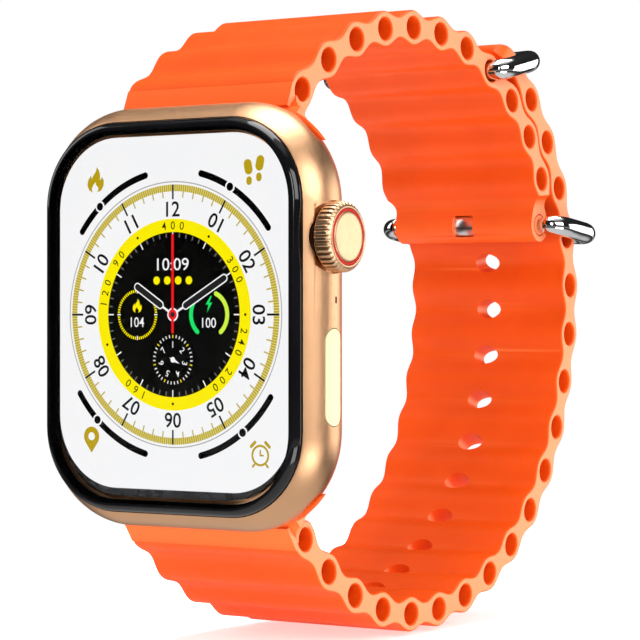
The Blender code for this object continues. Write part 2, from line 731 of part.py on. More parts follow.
def tip_cutter():
    """What lies outside the rounded free end of the band."""
    half = BAND_WIDTH / 2
    end = TAIL_HALF
    low = end - TIP_CORNER
    side = half + 2
    outline = [(side, low), (half, low), *arc((half - TIP_CORNER, low), TIP_CORNER, 0, 90, 6)[1:]]
    outline += [*arc((TIP_CORNER - half, low), TIP_CORNER, 90, 180, 6), (-side, low)]
    outline += [(-side, end + 3), (side, end + 3)]
    return through_band("tip_cutter", hole_half_middle, TIP_ANGLE, outline)


# Buckle and keeper.


def swept(name, points, radii, steps, origin, material=None):
    """A round rod along points in millimetres from origin, with its own radius at each and filled caps."""
    curve = bpy.data.curves.new(name, "CURVE")
    curve.dimensions = "3D"
    curve.bevel_depth = MM
    curve.bevel_resolution = steps
    curve.use_fill_caps = True
    spline = curve.splines.new("POLY")
    spline.points.add(len(points) - 1)
    for point, place, radius in zip(spline.points, points, radii):
        point.co = (*(Vector(place) * MM), 1)
        point.radius = radius
    return put(as_object(name, mesh_of(bpy.data.objects.new(name, curve), name), material), origin)


def ring(name, axis, reach, tilt):
    """A rod bent to a C: two stubs that turn in a tube's bore, two arms past the band's edges, and a cross bar."""
    path = [(RING_STUB_X, 0.0), (10.8, 0.0), *arc((RING_ARM_X - 1.5, 1.5), 1.5, -70, 0, 3)]
    path += arc((RING_ARM_X - RING_CORNER, reach - RING_CORNER), RING_CORNER, 0, 90, 6)
    path += [(-x, v) for x, v in reversed(path)]
    turn = math.radians(tilt)
    points = [(x, v * math.cos(turn), v * math.sin(turn)) for x, v in path]
    radii = [RING_STUB + (RING_ROD - RING_STUB) * min(v / 3.0, 1) for x, v in path]
    return swept(name, points, radii, 3, (0, *axis), "polished_steel")


def buckle_and_keeper():
    axis = tube_axis(BUCKLE_HALF_TUBES - 1)
    rod("buckle_bar", (-8.3, *axis), (8.3, *axis), PIN_RADIUS, "steel", 12)
    ring("buckle_frame", axis, BUCKLE_REACH, BUCKLE_TILT)
    sleeve = [(0.75, -1.5), (1.15, -1.5), (1.15, 1.5), (0.75, 1.5)]
    tongue = turned("tongue", sleeve, "X", (0, *axis), "polished_steel", 20)
    path = [(0, 0.9, 0.3), (0, 4.0, 1.6), (0, 6.0, 2.3), (0, 7.6, 2.3), (0, 9.0, 1.25), (0, 10.2, 0.62)]
    path.append((0, 10.9, 0.0))
    prong = swept("prong", path, [TONGUE_ROD] * len(path), 2, (0, *axis))
    combine(tongue, prong, "UNION")
    axis = tube_axis(KEEPER_TUBE)
    rod("keeper_bar", (-8.3, *axis), (8.3, *axis), PIN_RADIUS, "steel", 12)
    ring("keeper_loop", axis, KEEPER_REACH, KEEPER_TILT)


def main():
    clear_scene()
    make_materials()
    case_shell()
    front_stack()
    rear_stack()
    electronics()
    crown()
    side_button()
    lugs_and_latches()
    band()
    buckle_and_keeper()


main()
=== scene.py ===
"""The looks of the smart sports watch: its finished surfaces, its lit dial, and the studio around it.

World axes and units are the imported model's: +Z to 12 o'clock, +X to the crown, and the display faces -Y.
Shapes are worked out in millimetres and stored in metres.
"""

import json
import math

import bmesh
import bpy
from mathutils import Matrix, Vector


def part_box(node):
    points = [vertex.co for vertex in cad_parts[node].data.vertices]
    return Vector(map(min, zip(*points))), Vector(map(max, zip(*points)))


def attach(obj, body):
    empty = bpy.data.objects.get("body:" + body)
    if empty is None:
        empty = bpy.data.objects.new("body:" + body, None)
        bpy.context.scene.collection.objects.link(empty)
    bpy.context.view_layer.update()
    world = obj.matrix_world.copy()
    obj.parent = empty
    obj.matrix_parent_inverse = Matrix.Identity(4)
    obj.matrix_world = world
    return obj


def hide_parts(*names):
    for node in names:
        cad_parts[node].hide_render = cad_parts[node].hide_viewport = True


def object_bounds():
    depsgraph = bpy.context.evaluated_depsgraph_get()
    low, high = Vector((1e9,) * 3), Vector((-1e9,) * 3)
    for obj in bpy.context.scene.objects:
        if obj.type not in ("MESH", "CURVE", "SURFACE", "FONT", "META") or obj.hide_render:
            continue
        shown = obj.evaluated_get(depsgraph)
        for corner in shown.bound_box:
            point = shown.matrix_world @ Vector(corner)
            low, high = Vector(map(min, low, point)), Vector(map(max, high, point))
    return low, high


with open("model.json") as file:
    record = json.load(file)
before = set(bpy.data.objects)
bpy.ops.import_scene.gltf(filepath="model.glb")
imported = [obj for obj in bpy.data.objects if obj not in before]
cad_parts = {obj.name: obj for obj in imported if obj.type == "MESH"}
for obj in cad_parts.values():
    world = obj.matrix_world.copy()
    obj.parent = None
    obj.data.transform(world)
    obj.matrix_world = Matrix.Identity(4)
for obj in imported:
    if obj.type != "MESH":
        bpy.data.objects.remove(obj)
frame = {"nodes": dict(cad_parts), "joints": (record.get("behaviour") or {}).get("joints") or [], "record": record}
CAD_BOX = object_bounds()

MM = 0.001
QUARTER = math.pi / 2
FACING_FRONT = (QUARTER, 0, 0)
FACING_SIDE = (QUARTER, 0, QUARTER)
JOINTS = {joint["name"]: joint for joint in frame["joints"]}


def box_mm(node):
    low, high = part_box(node)
    return low / MM, high / MM


def middle_mm(node):
    low, high = box_mm(node)
    return (low + high) / 2


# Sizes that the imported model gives.
CROWN = middle_mm("crown_knob")
BUTTON = middle_mm("side_button")
CASE_MID_Y = CROWN.y
CASE_SIDE_X = box_mm("case_shell")[1].x
CASE_TOP_Z = box_mm("case_shell")[1].z
EDGE_RADIUS = 4.5
BUTTON_HALF_WIDTH = 1.35
BUTTON_HALF_HEIGHT = 5.0
CASE_CORNER = 10.75
GLASS_SIDE_X = box_mm("cover_glass")[1].x
GLASS_TOP_Z = box_mm("cover_glass")[1].z
GLASS_CORNER = 9.0
GLASS_FRONT_Y = box_mm("cover_glass")[0].y
GLASS_BACK_Y = box_mm("cover_glass")[1].y
BAND_HALF_WIDTH = box_mm("band_hole_half")[1].x
BUCKLE_AXIS = Vector(JOINTS["buckle_swing"]["pos_m"]) / MM
KEEPER_AXIS = Vector(JOINTS["keeper_swing"]["pos_m"]) / MM

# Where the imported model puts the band's lugs, its two middle lines, its tubes and its holes.
LUG_DEPTH = 2.1
LUG_RADIUS = 1.4
BLADE_HALF = 1.1
LOOP_Y = 23.45
TUBE_HALF = 2.0
WEB_HALF = 1.2
BORE_RADIAL = 1.22
BORE_ALONG = 1.37
FIRST_TUBE_ANGLE = 135.5
BUCKLE_HALF_STEP = 10.35
BUCKLE_HALF_TUBES = 12
HOLE_HALF_STEP = 10.15
HOLE_HALF_TUBES = 19
FIRST_HOLED_WEB = 5
INNER_RADIUS = 32.6
OUTER_RADIUS = 33.5
RELEASE_Z = 19.0
HOLE_HALF_WIDTH = 1.7
HOLE_HALF_HEIGHT = 1.15
END_TUBE_HALF = 9.85
END_SHOULDER = 2.4
TIP_ANGLE = 59.0
TIP_CORNER = 2.6
TAIL_START = 47.0
TAIL_HALF = 1.0
BAND_EDGE = 0.28
RING_ROD = 1.25
PIN_BORE = 0.58


# Materials.


class Nodes:
    """A material's node tree, with the few nodes that every finish here is built from."""

    def __init__(self, name):
        self.material = bpy.data.materials.new(name)
        self.material.use_nodes = True
        self.tree = self.material.node_tree
        self.shader = self.tree.nodes["Principled BSDF"]
        self.coords = self.add("ShaderNodeTexCoord").outputs["Object"]

    def add(self, kind, **settings):
        node = self.tree.nodes.new(kind)
        for key, value in settings.items():
            setattr(node, key, value)
        return node

    def link(self, output, socket):
        self.tree.links.new(output, socket)

    def noise(self, size_mm, detail=3.0, stretch=None):
        """Noise whose features are about size_mm across, stretched along an axis if asked."""
        node = self.add("ShaderNodeTexNoise")
        node.inputs["Scale"].default_value = 1 / (size_mm * MM)
        node.inputs["Detail"].default_value = detail
        source = self.coords
        if stretch:
            mapping = self.add("ShaderNodeMapping")
            mapping.inputs["Scale"].default_value = stretch
            self.link(source, mapping.inputs["Vector"])
            source = mapping.outputs["Vector"]
        self.link(source, node.inputs["Vector"])
        return node.outputs["Fac"]

    def spread(self, value, low, high, start=0.3, end=0.7):
        """Maps value from start..end to low..high."""
        node = self.add("ShaderNodeMapRange")
        for key, number in (("From Min", start), ("From Max", end), ("To Min", low), ("To Max", high)):
            node.inputs[key].default_value = number
        self.link(value, node.inputs["Value"])
        return node.outputs["Result"]

    def mix(self, factor, first, second):
        """A colour between first and second, each a colour or another node's output."""
        node = self.add("ShaderNodeMix", data_type="RGBA")
        self.link(factor, node.inputs["Factor"])
        for socket, value in ((node.inputs[6], first), (node.inputs[7], second)):
            if isinstance(value, tuple):
                socket.default_value = (*value, 1)
            else:
                self.link(value, socket)
        return node.outputs[2]

    def bump(self, height, strength, depth_mm):
        node = self.add("ShaderNodeBump")
        node.inputs["Strength"].default_value = strength
        node.inputs["Distance"].default_value = depth_mm * MM
        self.link(height, node.inputs["Height"])
        self.link(node.outputs["Normal"], self.shader.inputs["Normal"])

    def edges(self, start, end):
        """0 on flat and hollow places, 1 on outward edges."""
        return self.spread(self.add("ShaderNodeNewGeometry").outputs["Pointiness"], 0, 1, start, end)

    def set(self, **sockets):
        for key, value in sockets.items():
            socket = self.shader.inputs[key.replace("_", " ")]
            socket.default_value = (*value, 1) if isinstance(value, tuple) else value


def shade(colour, factor):
    return tuple(min(c * factor, 1) for c in colour)


def plain_finish(
    name, colour, roughness, metallic=0.0, tone=0.12, grain=0.25, bump=0.15, wear=1.25, specular=0.5
):
    """A finish with soft patches, fine grain, uneven gloss and slightly lighter edges."""
    nodes = Nodes(name)
    patches = nodes.spread(nodes.noise(6.0), 0, 1)
    base = nodes.mix(patches, shade(colour, 1 - tone), shade(colour, 1 + tone))
    base = nodes.mix(nodes.edges(0.52, 0.62), base, shade(colour, wear))
    nodes.link(base, nodes.shader.inputs["Base Color"])
    gloss = nodes.spread(nodes.noise(2.0), roughness * 0.85, min(roughness * 1.2, 1))
    nodes.link(gloss, nodes.shader.inputs["Roughness"])
    nodes.bump(nodes.noise(grain), bump, 0.02)
    nodes.set(Metallic=metallic, Specular_IOR_Level=specular)
    return nodes.material


def make_silicone():
    """Moulded soft-touch rubber: saturated, with a fine mould grain, paler ridges and rims as a painted highlight,
    and paler flat sides as a painted sheen.
    """
    colour = (0.86, 0.088, 0.004)
    nodes = Nodes("orange_silicone")
    patches = nodes.spread(nodes.noise(7.0, 4.0), 0, 1)
    base = nodes.mix(patches, shade(colour, 0.94), (0.89, 0.096, 0.005))
    # Painted highlight: ridge crests and rims are mixed towards a pale orange, as if they caught the light.
    base = nodes.mix(nodes.edges(0.53, 0.66), base, (0.96, 0.17, 0.03))
    # Painted sheen: faces turned to +X or -X, the band's flat sides, are mixed towards peach, as if lit by the key
    # light.
    split = nodes.add("ShaderNodeSeparateXYZ")
    nodes.link(nodes.add("ShaderNodeTexCoord").outputs["Normal"], split.inputs["Vector"])
    side_sheen_mask = nodes.add("ShaderNodeMath", operation="ABSOLUTE")
    nodes.link(split.outputs["X"], side_sheen_mask.inputs[0])
    base = nodes.mix(nodes.spread(side_sheen_mask.outputs[0], 0, 1, 0.75, 1.0), base, (1.0, 0.29, 0.125))
    nodes.link(base, nodes.shader.inputs["Base Color"])
    gloss = nodes.spread(nodes.noise(1.5), 0.38, 0.48)
    nodes.link(gloss, nodes.shader.inputs["Roughness"])
    nodes.bump(nodes.noise(0.12, 2.0), 0.08, 0.02)
    nodes.set(Specular_IOR_Level=0.16, Subsurface_Weight=0.04, Subsurface_Scale=0.4 * MM)
    nodes.set(Subsurface_Radius=[1.0, 0.25, 0.1])
    return nodes.material


def make_gold(name="gold_aluminium", colour=(0.83, 0.47, 0.255), roughness=0.37):
    """Bead-blasted, anodised aluminium: a very fine grain, and edges that catch the light."""
    nodes = Nodes(name)
    patches = nodes.spread(nodes.noise(9.0, 2.0), 0, 1)
    base = nodes.mix(patches, shade(colour, 0.96), shade(colour, 1.04))
    base = nodes.mix(nodes.edges(0.62, 0.75), base, (0.88, 0.62, 0.40))
    nodes.link(base, nodes.shader.inputs["Base Color"])
    gloss = nodes.spread(nodes.noise(0.5, 5.0), roughness - 0.03, roughness + 0.05)
    nodes.link(gloss, nodes.shader.inputs["Roughness"])
    nodes.bump(nodes.noise(0.2, 1.0), 0.05, 0.003)
    nodes.set(Metallic=1.0)
    return nodes.material


def make_chrome():
    """Polished steel with hairline scratches along its length and a faint haze."""
    nodes = Nodes("polished_steel")
    haze = nodes.spread(nodes.noise(4.0), 0, 1)
    base = nodes.mix(haze, (0.70, 0.70, 0.71), (0.78, 0.78, 0.785))
    nodes.link(base, nodes.shader.inputs["Base Color"])
    scratches = nodes.noise(0.35, 4.0, (0.12, 1.0, 1.0))
    nodes.link(nodes.spread(scratches, 0.035, 0.10), nodes.shader.inputs["Roughness"])
    nodes.bump(scratches, 0.03, 0.004)
    nodes.set(Metallic=1.0)
    return nodes.material


def make_black_glass():
    """Black-printed glass: deep gloss with faint smears."""
    nodes = Nodes("black_glass")
    smears = nodes.spread(nodes.noise(5.0, 3.0, (1.0, 1.0, 0.4)), 0, 1)
    base = nodes.mix(smears, (0.0035, 0.0035, 0.004), (0.006, 0.006, 0.007))
    nodes.link(base, nodes.shader.inputs["Base Color"])
    nodes.link(nodes.spread(smears, 0.05, 0.10, 0, 1), nodes.shader.inputs["Roughness"])
    nodes.bump(nodes.noise(3.0), 0.02, 0.01)
    nodes.set(Specular_IOR_Level=0.5)
    return nodes.material


def make_clear_glass():
    """The clear middle of the cover glass."""
    nodes = Nodes("clear_glass")
    smears = nodes.noise(6.0, 3.0)
    tint = nodes.mix(nodes.spread(smears, 0, 1), (0.985, 0.99, 0.99), (1.0, 1.0, 1.0))
    nodes.link(tint, nodes.shader.inputs["Base Color"])
    nodes.link(nodes.spread(smears, 0.0, 0.02), nodes.shader.inputs["Roughness"])
    nodes.set(Transmission_Weight=1.0, IOR=1.2)
    return nodes.material


def make_lit(name, colour, strength=1.0):
    """A lit area of the display: colour from its own light, broken up by a fine pixel grid."""
    nodes = Nodes(name)
    grid = nodes.add("ShaderNodeTexBrick", offset=0.0)
    sizes = {"Scale": 1 / MM, "Mortar Size": 0.012, "Brick Width": 0.09, "Row Height": 0.09}
    for key, value in sizes.items():
        grid.inputs[key].default_value = value
    turn = nodes.add("ShaderNodeMapping")
    turn.inputs["Rotation"].default_value = (-QUARTER, 0, 0)
    nodes.link(nodes.coords, turn.inputs["Vector"])
    nodes.link(turn.outputs["Vector"], grid.inputs["Vector"])
    lit = nodes.mix(grid.outputs["Fac"], colour, shade(colour, 0.94))
    nodes.link(lit, nodes.shader.inputs["Emission Color"])
    unlit = nodes.mix(grid.outputs["Fac"], shade(colour, 0.03), (0.0, 0.0, 0.0))
    nodes.link(unlit, nodes.shader.inputs["Base Color"])
    nodes.set(Roughness=0.3, Emission_Strength=strength)
    return nodes.material


def make_board():
    """Green solder mask over fine tracks."""
    nodes = Nodes("circuit_board")
    tracks = nodes.add("ShaderNodeTexVoronoi", feature="DISTANCE_TO_EDGE")
    tracks.inputs["Scale"].default_value = 1 / MM
    nodes.link(nodes.coords, tracks.inputs["Vector"])
    line = nodes.spread(tracks.outputs["Distance"], 1, 0, 0.02, 0.06)
    nodes.link(nodes.mix(line, (0.01, 0.12, 0.055), (0.06, 0.30, 0.12)), nodes.shader.inputs["Base Color"])
    nodes.bump(line, 0.3, 0.03)
    nodes.set(Roughness=0.4)
    return nodes.material


MATERIALS = {
    "orange_silicone": make_silicone(),
    "gold_aluminium": make_gold(),
    "crown_gold": make_gold("crown_gold", (0.86, 0.55, 0.32), 0.36),
    "polished_steel": make_chrome(),
    "black_glass": make_black_glass(),
    "clear_glass": make_clear_glass(),
    "circuit_board": make_board(),
}

# Plain finishes: colour, roughness, and whatever differs from plain_finish's own values.
PLAIN_FINISHES = {
    "cream_button": (
        (0.78, 0.70, 0.40), 0.4, dict(metallic=0.1, tone=0.02, grain=0.15, bump=0.05, wear=1.05)
    ),
    "red_inlay": ((0.40, 0.012, 0.003), 0.5, dict(tone=0.08, grain=0.3, bump=0.05, wear=1.3, specular=0.12)),
    "steel": ((0.50, 0.50, 0.51), 0.33, dict(metallic=1.0, tone=0.06, grain=0.2, bump=0.1, wear=1.3)),
    "black_plastic": ((0.02, 0.02, 0.021), 0.42, dict(tone=0.15, grain=0.2, bump=0.2, wear=1.8)),
    "seal_rubber": ((0.03, 0.03, 0.03), 0.7, {}),
    "battery_wrap": ((0.20, 0.21, 0.23), 0.45, dict(metallic=0.3)),
    "bright_steel": ((0.86, 0.86, 0.86), 0.3, dict(metallic=1.0, tone=0.03, grain=0.2, bump=0.05, wear=1.1)),
    # A dark brown metal for the crown bush only: painted shade for the gap behind the crown.
    "bush_painted_shade": ((0.20, 0.09, 0.045), 0.4, dict(metallic=1.0)),
    "copper": ((0.75, 0.36, 0.2), 0.32, dict(metallic=1.0, tone=0.1, bump=0.6)),
    "flex_film": ((0.55, 0.28, 0.05), 0.42, {}),
    "led_lens": ((0.25, 0.85, 0.35), 0.15, {}),
    "display": ((0.03, 0.03, 0.032), 0.3, {}),
}
for finish_name, (finish_colour, finish_roughness, finish_extra) in PLAIN_FINISHES.items():
    MATERIALS[finish_name] = plain_finish(finish_name, finish_colour, finish_roughness, **finish_extra)


# Mesh helpers.


def new_object(name, mesh, place=(0, 0, 0), turn=(0, 0, 0)):
    obj = bpy.data.objects.new(name, mesh)
    bpy.context.scene.collection.objects.link(obj)
    obj.location = Vector(place) * MM
    obj.rotation_euler = turn
    return obj


def object_of(name, bm):
    mesh = bpy.data.meshes.new(name)
    bm.to_mesh(mesh)
    bm.free()
    return new_object(name, mesh)


def evaluated_mesh(obj, name):
    bpy.context.view_layer.update()
    mesh = bpy.data.meshes.new_from_object(obj.evaluated_get(bpy.context.evaluated_depsgraph_get()))
    mesh.name = name
    return mesh


def cleaned(mesh):
    bm = bmesh.new()
    bm.from_mesh(mesh)
    bmesh.ops.remove_doubles(bm, verts=bm.verts, dist=1e-6)
    bmesh.ops.recalc_face_normals(bm, faces=bm.faces)
    bm.to_mesh(mesh)
    bm.free()
    return mesh


def curve_to_object(name, curve, place=(0, 0, 0), turn=(0, 0, 0)):
    source = bpy.data.objects.new(name, curve)
    bpy.context.scene.collection.objects.link(source)
    mesh = cleaned(evaluated_mesh(source, name))
    bpy.data.objects.remove(source)
    return new_object(name, mesh, place, turn)


def plate(name, loops, low, high, facing, bevel=0.0, bevel_steps=4, origin=(0, 0)):
    """Flat outlines made solid from low to high along the facing's axis, with rounded rims."""
    curve = bpy.data.curves.new(name, "CURVE")
    curve.dimensions = "2D"
    curve.fill_mode = "BOTH"
    curve.extrude = ((high - low) / 2 - bevel) * MM
    curve.bevel_depth = bevel * MM
    curve.bevel_resolution = bevel_steps
    for loop in loops:
        spline = curve.splines.new("POLY")
        spline.points.add(len(loop) - 1)
        for point, (u, v) in zip(spline.points, loop):
            point.co = (u * MM, v * MM, 0, 1)
        spline.use_cyclic_u = True
    centre = (high + low) / 2
    place = (origin[0], centre, origin[1]) if facing is FACING_FRONT else (centre, *origin)
    return curve_to_object(name, curve, place, facing)


def arc(centre, radius, start, end, steps):
    turns = [math.radians(start + (end - start) * i / steps) for i in range(steps + 1)]
    return [(centre[0] + radius * math.cos(t), centre[1] + radius * math.sin(t)) for t in turns]


def rounded(half_width, half_height, corner, steps=16, centre=(0, 0)):
    """A rounded rectangle as a closed loop, from the right side's upper end, anticlockwise."""
    across = half_width - corner
    up = half_height - corner
    found = []
    for u, v, start in ((across, up, 0), (-across, up, 90), (-across, -up, 180), (across, -up, 270)):
        found += arc((centre[0] + u, centre[1] + v), corner, start, start + 90, steps)
    return found


def circle(radius, centre=(0, 0), steps=48):
    return arc(centre, radius, 0, 360 - 360 / steps, steps - 1)


def rod(name, start, end, radius, steps=48):
    a = Vector(start)
    b = Vector(end)
    bm = bmesh.new()
    turn = (b - a).to_track_quat("Z", "Y").to_matrix().to_4x4()
    bmesh.ops.create_cone(
        bm,
        cap_ends=True,
        segments=steps,
        radius1=radius * MM,
        radius2=radius * MM,
        depth=(b - a).length * MM,
        matrix=Matrix.Translation((a + b) / 2 * MM) @ turn,
    )
    return object_of(name, bm)


def combine(target, other, operation):
    """Applies a Boolean with another object, which is then removed."""
    modifier = target.modifiers.new(other.name, "BOOLEAN")
    modifier.operation = operation
    modifier.object = other
    mesh = evaluated_mesh(target, target.name)
    target.modifiers.clear()
    target.data = cleaned(mesh)
    bpy.data.objects.remove(other)
    return target


def cut(target, *cutters):
    for cutter in cutters:
        combine(target, cutter, "DIFFERENCE")
    return target


def finished(obj, material, body, replaces=(), sharp=35):
    """Gives a piece its finish and shading, and lets it ride on its body in place of some nodes."""
    bpy.context.view_layer.update()
    obj.data.transform(obj.matrix_world)
    obj.matrix_world = Matrix()
    if not obj.data.materials:
        obj.data.materials.append(MATERIALS[material])
    obj.data.shade_smooth()
    obj.data.set_sharp_from_angle(angle=math.radians(sharp))
    weighted = obj.modifiers.new("even_shading", "WEIGHTED_NORMAL")
    weighted.keep_sharp = True
    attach(obj, body)
    if replaces:
        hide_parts(*replaces)
    return obj


def skin(rings, name, closed_rings=True, cap_start=False, cap_end=False):
    """A mesh through rings of points, each ring joined to the next."""
    bm = bmesh.new()
    levels = [[bm.verts.new(Vector(p) * MM) for p in ring] for ring in rings]
    count = len(rings[0])
    for lower, upper in zip(levels, levels[1:]):
        for i in range(count if closed_rings else count - 1):
            j = (i + 1) % count
            bm.faces.new((lower[i], lower[j], upper[j], upper[i]))
    if cap_start:
        bm.faces.new(levels[0][::-1])
    if cap_end:
        bm.faces.new(levels[-1])
    bmesh.ops.remove_doubles(bm, verts=bm.verts, dist=1e-7)
    bmesh.ops.recalc_face_normals(bm, faces=bm.faces)
    return object_of(name, bm)


def turned(name, profile, axis, centre, steps=96, radius_at=None):
    """A profile of (radius, along) points turned about X or Y; radius_at may vary the radius."""
    rings = []
    for i in range(steps):
        t = math.tau * i / steps
        ring = []
        for station, (radius, along) in enumerate(profile):
            r = radius_at(station, radius, t) if radius_at else radius
            a, b = r * math.cos(t), r * math.sin(t)
            point = (along, a, b) if axis == "X" else (a, along, b)
            ring.append(Vector(centre) + Vector(point))
        rings.append(ring)
    rings.append(rings[0])
    return skin(rings, name, closed_rings=profile[0][0] > 0)


# Case.


def lug_frame(side):
    """The middle of a lug's round bar, in Y and Z: on the 45 degree line through the case's rear edge."""
    offset = (EDGE_RADIUS - LUG_DEPTH) * math.sqrt(0.5)
    return CASE_MID_Y + offset, side * (CASE_TOP_Z - EDGE_RADIUS + offset)


def case_slot(side):
    y, z = lug_frame(side)
    channel = rod("channel", (-25, y, z), (25, y, z), LUG_RADIUS + 0.1)
    half = BLADE_HALF + 0.1
    outline = [(0, -half), (5, -half), (5, half), (0, half)]
    mouth = plate("mouth", [outline], -25, 25, FACING_SIDE, origin=(y, z))
    mouth.rotation_euler.rotate_axis("Z", side * QUARTER / 2)
    return channel, mouth


def case_slab(name, grow=0.0, steps=20, bevel_steps=14):
    edge = EDGE_RADIUS + grow
    loop = rounded(CASE_SIDE_X - EDGE_RADIUS, CASE_TOP_Z - EDGE_RADIUS, CASE_CORNER - EDGE_RADIUS, steps)
    low = CASE_MID_Y - edge
    return plate(name, [loop], low, low + 2 * edge, FACING_FRONT, edge - 1e-4, bevel_steps)


def front_block(name, size, low, high):
    half_width, half_height, corner = size
    return plate(name, [rounded(half_width, half_height, corner)], low, high, FACING_FRONT)


def make_case():
    case = case_slab("case_body")
    y = CASE_MID_Y
    z = CROWN.z
    glass = (GLASS_SIDE_X + 0.08, GLASS_TOP_Z + 0.08, GLASS_CORNER + 0.08)
    cutters = [
        front_block("glass_recess", glass, -13, -8.75),
        front_block("front_pocket", (15.6, 19.4, 8.6), -12, -7.7),
        front_block("main_pocket", (14, 16, 10), -11, 1),
        front_block("rear_recess", (14.8, 17.2, 9.0), -2.9, 2),
        rod("crown_bore", (10, y, z), (22, y, z), 1.8),
        rod("crown_seat", (16.8, y, z), (22, y, z), 3.0),
        rod("crown_recess", (17.6, y, z), (22, y, z), 3.78, 96),
        plate("button_pocket", [button_pill(0.09)], 16.5, 21, FACING_SIDE, origin=(y, BUTTON.z)),
        plate("microphone_hole", [pill(0.17, 0.38)], 12, 20, FACING_SIDE, origin=(y + 0.3, 1.75)),
    ]
    for slot_z in (-7.0, -4.6):
        cutters.append(plate("speaker_slot", [pill(0.45, 0.95)], -20, -12, FACING_SIDE, origin=(y, slot_z)))
    for side in (1, -1):
        cutters += case_slot(side)
        cutters.append(
            plate("release_pocket", [pill(3.06, 0.7)], -3.6, 0, FACING_FRONT, origin=(0, side * RELEASE_Z))
        )
    cut(case, *cutters)
    return finished(case, "gold_aluminium", "case", ["case_shell"], 40)


def pill(half_width, half_height, grow=0.0):
    """A pill shape, long in whichever way it is larger."""
    half_width += grow
    half_height += grow
    return rounded(half_width, half_height, min(half_width, half_height) - 1e-3, 12)


# Cover glass.


def make_cover_glass():
    """Black-printed round the rim, clear in the middle, with a steep round edge."""
    rim = 0.95
    window = 1.3
    side_y = GLASS_BACK_Y - 0.3
    depth = side_y - GLASS_FRONT_Y
    stations = [(window, GLASS_BACK_Y), (0.25, GLASS_BACK_Y), (0.05, GLASS_BACK_Y - 0.08), (0, side_y)]
    steps = 12
    for i in range(1, steps + 1):
        t = QUARTER * i / steps
        stations.append((rim * (1 - math.cos(t)), side_y - depth * math.sin(t)))
    rings = []
    for inset, y in stations:
        loop = rounded(GLASS_SIDE_X - inset, GLASS_TOP_Z - inset, GLASS_CORNER - inset, 24)
        rings.append([(u, y, v) for u, v in loop])
    glass = skin(rings, "cover_glass_lens", cap_start=True, cap_end=True)
    glass.data.materials.append(MATERIALS["black_glass"])
    glass.data.materials.append(MATERIALS["clear_glass"])
    for face in glass.data.polygons:
        if len(face.vertices) > 4:
            face.material_index = 1
    return finished(glass, "black_glass", "case", ["cover_glass"], 50)


# Dial.

DIAL_Y = -8.97
DIAL_X = 0.15
DIAL_LAYER = 0.012
HUB_Z = 0.25


class Sheet:
    """One colour of the lit dial: flat shapes in one layer, drawn from a hub, angles clockwise from 12."""

    def __init__(self, name, colour, layer, strength=1.0):
        self.name = name
        self.bm = bmesh.new()
        self.material = make_lit(name, colour, strength)
        self.y = DIAL_Y - DIAL_LAYER * layer
        self.hub = (0.0, 0.0)

    def moved(self, x, z):
        self.hub = (x, z)
        return self

    def vert(self, u, v):
        return self.bm.verts.new(Vector((DIAL_X + self.hub[0] + u, self.y, HUB_Z + self.hub[1] + v)) * MM)

    def polygon(self, points):
        self.bm.faces.new([self.vert(u, v) for u, v in points])

    def band(self, inner, outer):
        """A strip between two rows of points."""
        low = [self.vert(u, v) for u, v in inner]
        high = [self.vert(u, v) for u, v in outer]
        for i in range(len(low) - 1):
            self.bm.faces.new((low[i], high[i], high[i + 1], low[i + 1]))

    def sector(self, r0, r1, start=0, end=360, steps=None, centre=(0, 0)):
        steps = steps or max(2, int(abs(end - start) / 2.5))
        self.band(arc(centre, r0, 90 - start, 90 - end, steps), arc(centre, r1, 90 - start, 90 - end, steps))

    def disc(self, radius, centre=(0, 0), steps=40):
        self.polygon(circle(radius, centre, steps))

    def capsule(self, a, b, half):
        """A thick line with round ends."""
        direction = math.degrees(math.atan2(b[1] - a[1], b[0] - a[0]))
        far_end = arc(b, half, direction - 90, direction + 90, 10)
        near_end = arc(a, half, direction + 90, direction + 270, 10)
        self.polygon(far_end + near_end)

    def bar(self, angle, r0, r1, half):
        t = math.radians(90 - angle)
        along = Vector((math.cos(t), math.sin(t)))
        across = Vector((-along.y, along.x)) * half
        low = along * r0
        high = along * r1
        self.polygon([tuple(p) for p in (low - across, high - across, high + across, low + across)])

    def text(self, words, height, place, turn=0.0, narrow=1.0):
        """Text of a given height, centred at place and turned clockwise."""
        font = bpy.data.curves.new("text", "FONT")
        font.body = words
        font.resolution_u = 6
        font.offset = 0.012 if self.name == "dial_hours" else 0.004
        source = bpy.data.objects.new("text", font)
        bpy.context.scene.collection.objects.link(source)
        mesh = evaluated_mesh(source, "text")
        bpy.data.objects.remove(source)
        points = [v.co for v in mesh.vertices]
        low = Vector((min(p.x for p in points), min(p.y for p in points)))
        high = Vector((max(p.x for p in points), max(p.y for p in points)))
        scale = height / (high.y - low.y)
        centre = (low + high) / 2
        spin = Matrix.Rotation(math.radians(-turn), 2)
        placed = []
        for p in points:
            flat = spin @ Vector(((p.x - centre.x) * scale * narrow, (p.y - centre.y) * scale))
            placed.append(self.vert(place[0] + flat.x, place[1] + flat.y))
        for face in mesh.polygons:
            self.bm.faces.new([placed[i] for i in face.vertices])

    def arc_text(self, words, height, radius, angle, pitch):
        """Text written round the hub, centred at angle, one character every pitch degrees."""
        for i, letter in enumerate(words):
            turn = angle + (i - (len(words) - 1) / 2) * pitch
            if letter != " ":
                self.text(letter, height, at(turn, radius), turn)

    def done(self):
        bmesh.ops.recalc_face_normals(self.bm, faces=self.bm.faces)
        for face in self.bm.faces:
            if face.normal.y > 0:
                face.normal_flip()
        obj = object_of(self.name, self.bm)
        obj.data.materials.append(self.material)
        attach(obj, "case")
        return obj


def at(angle, radius):
    t = math.radians(90 - angle)
    return radius * math.cos(t), radius * math.sin(t)


WHITE = (0.93, 0.93, 0.94)
BLACK = (0.0, 0.0, 0.0)
YELLOW = (1.0, 0.86, 0.0)
OLIVE = (0.50, 0.38, 0.018)
GAUGES = ((-54, -14, -40.3), (14, 54, 29.3), (-166, -124, -138.0), (124, 166, 143.4))


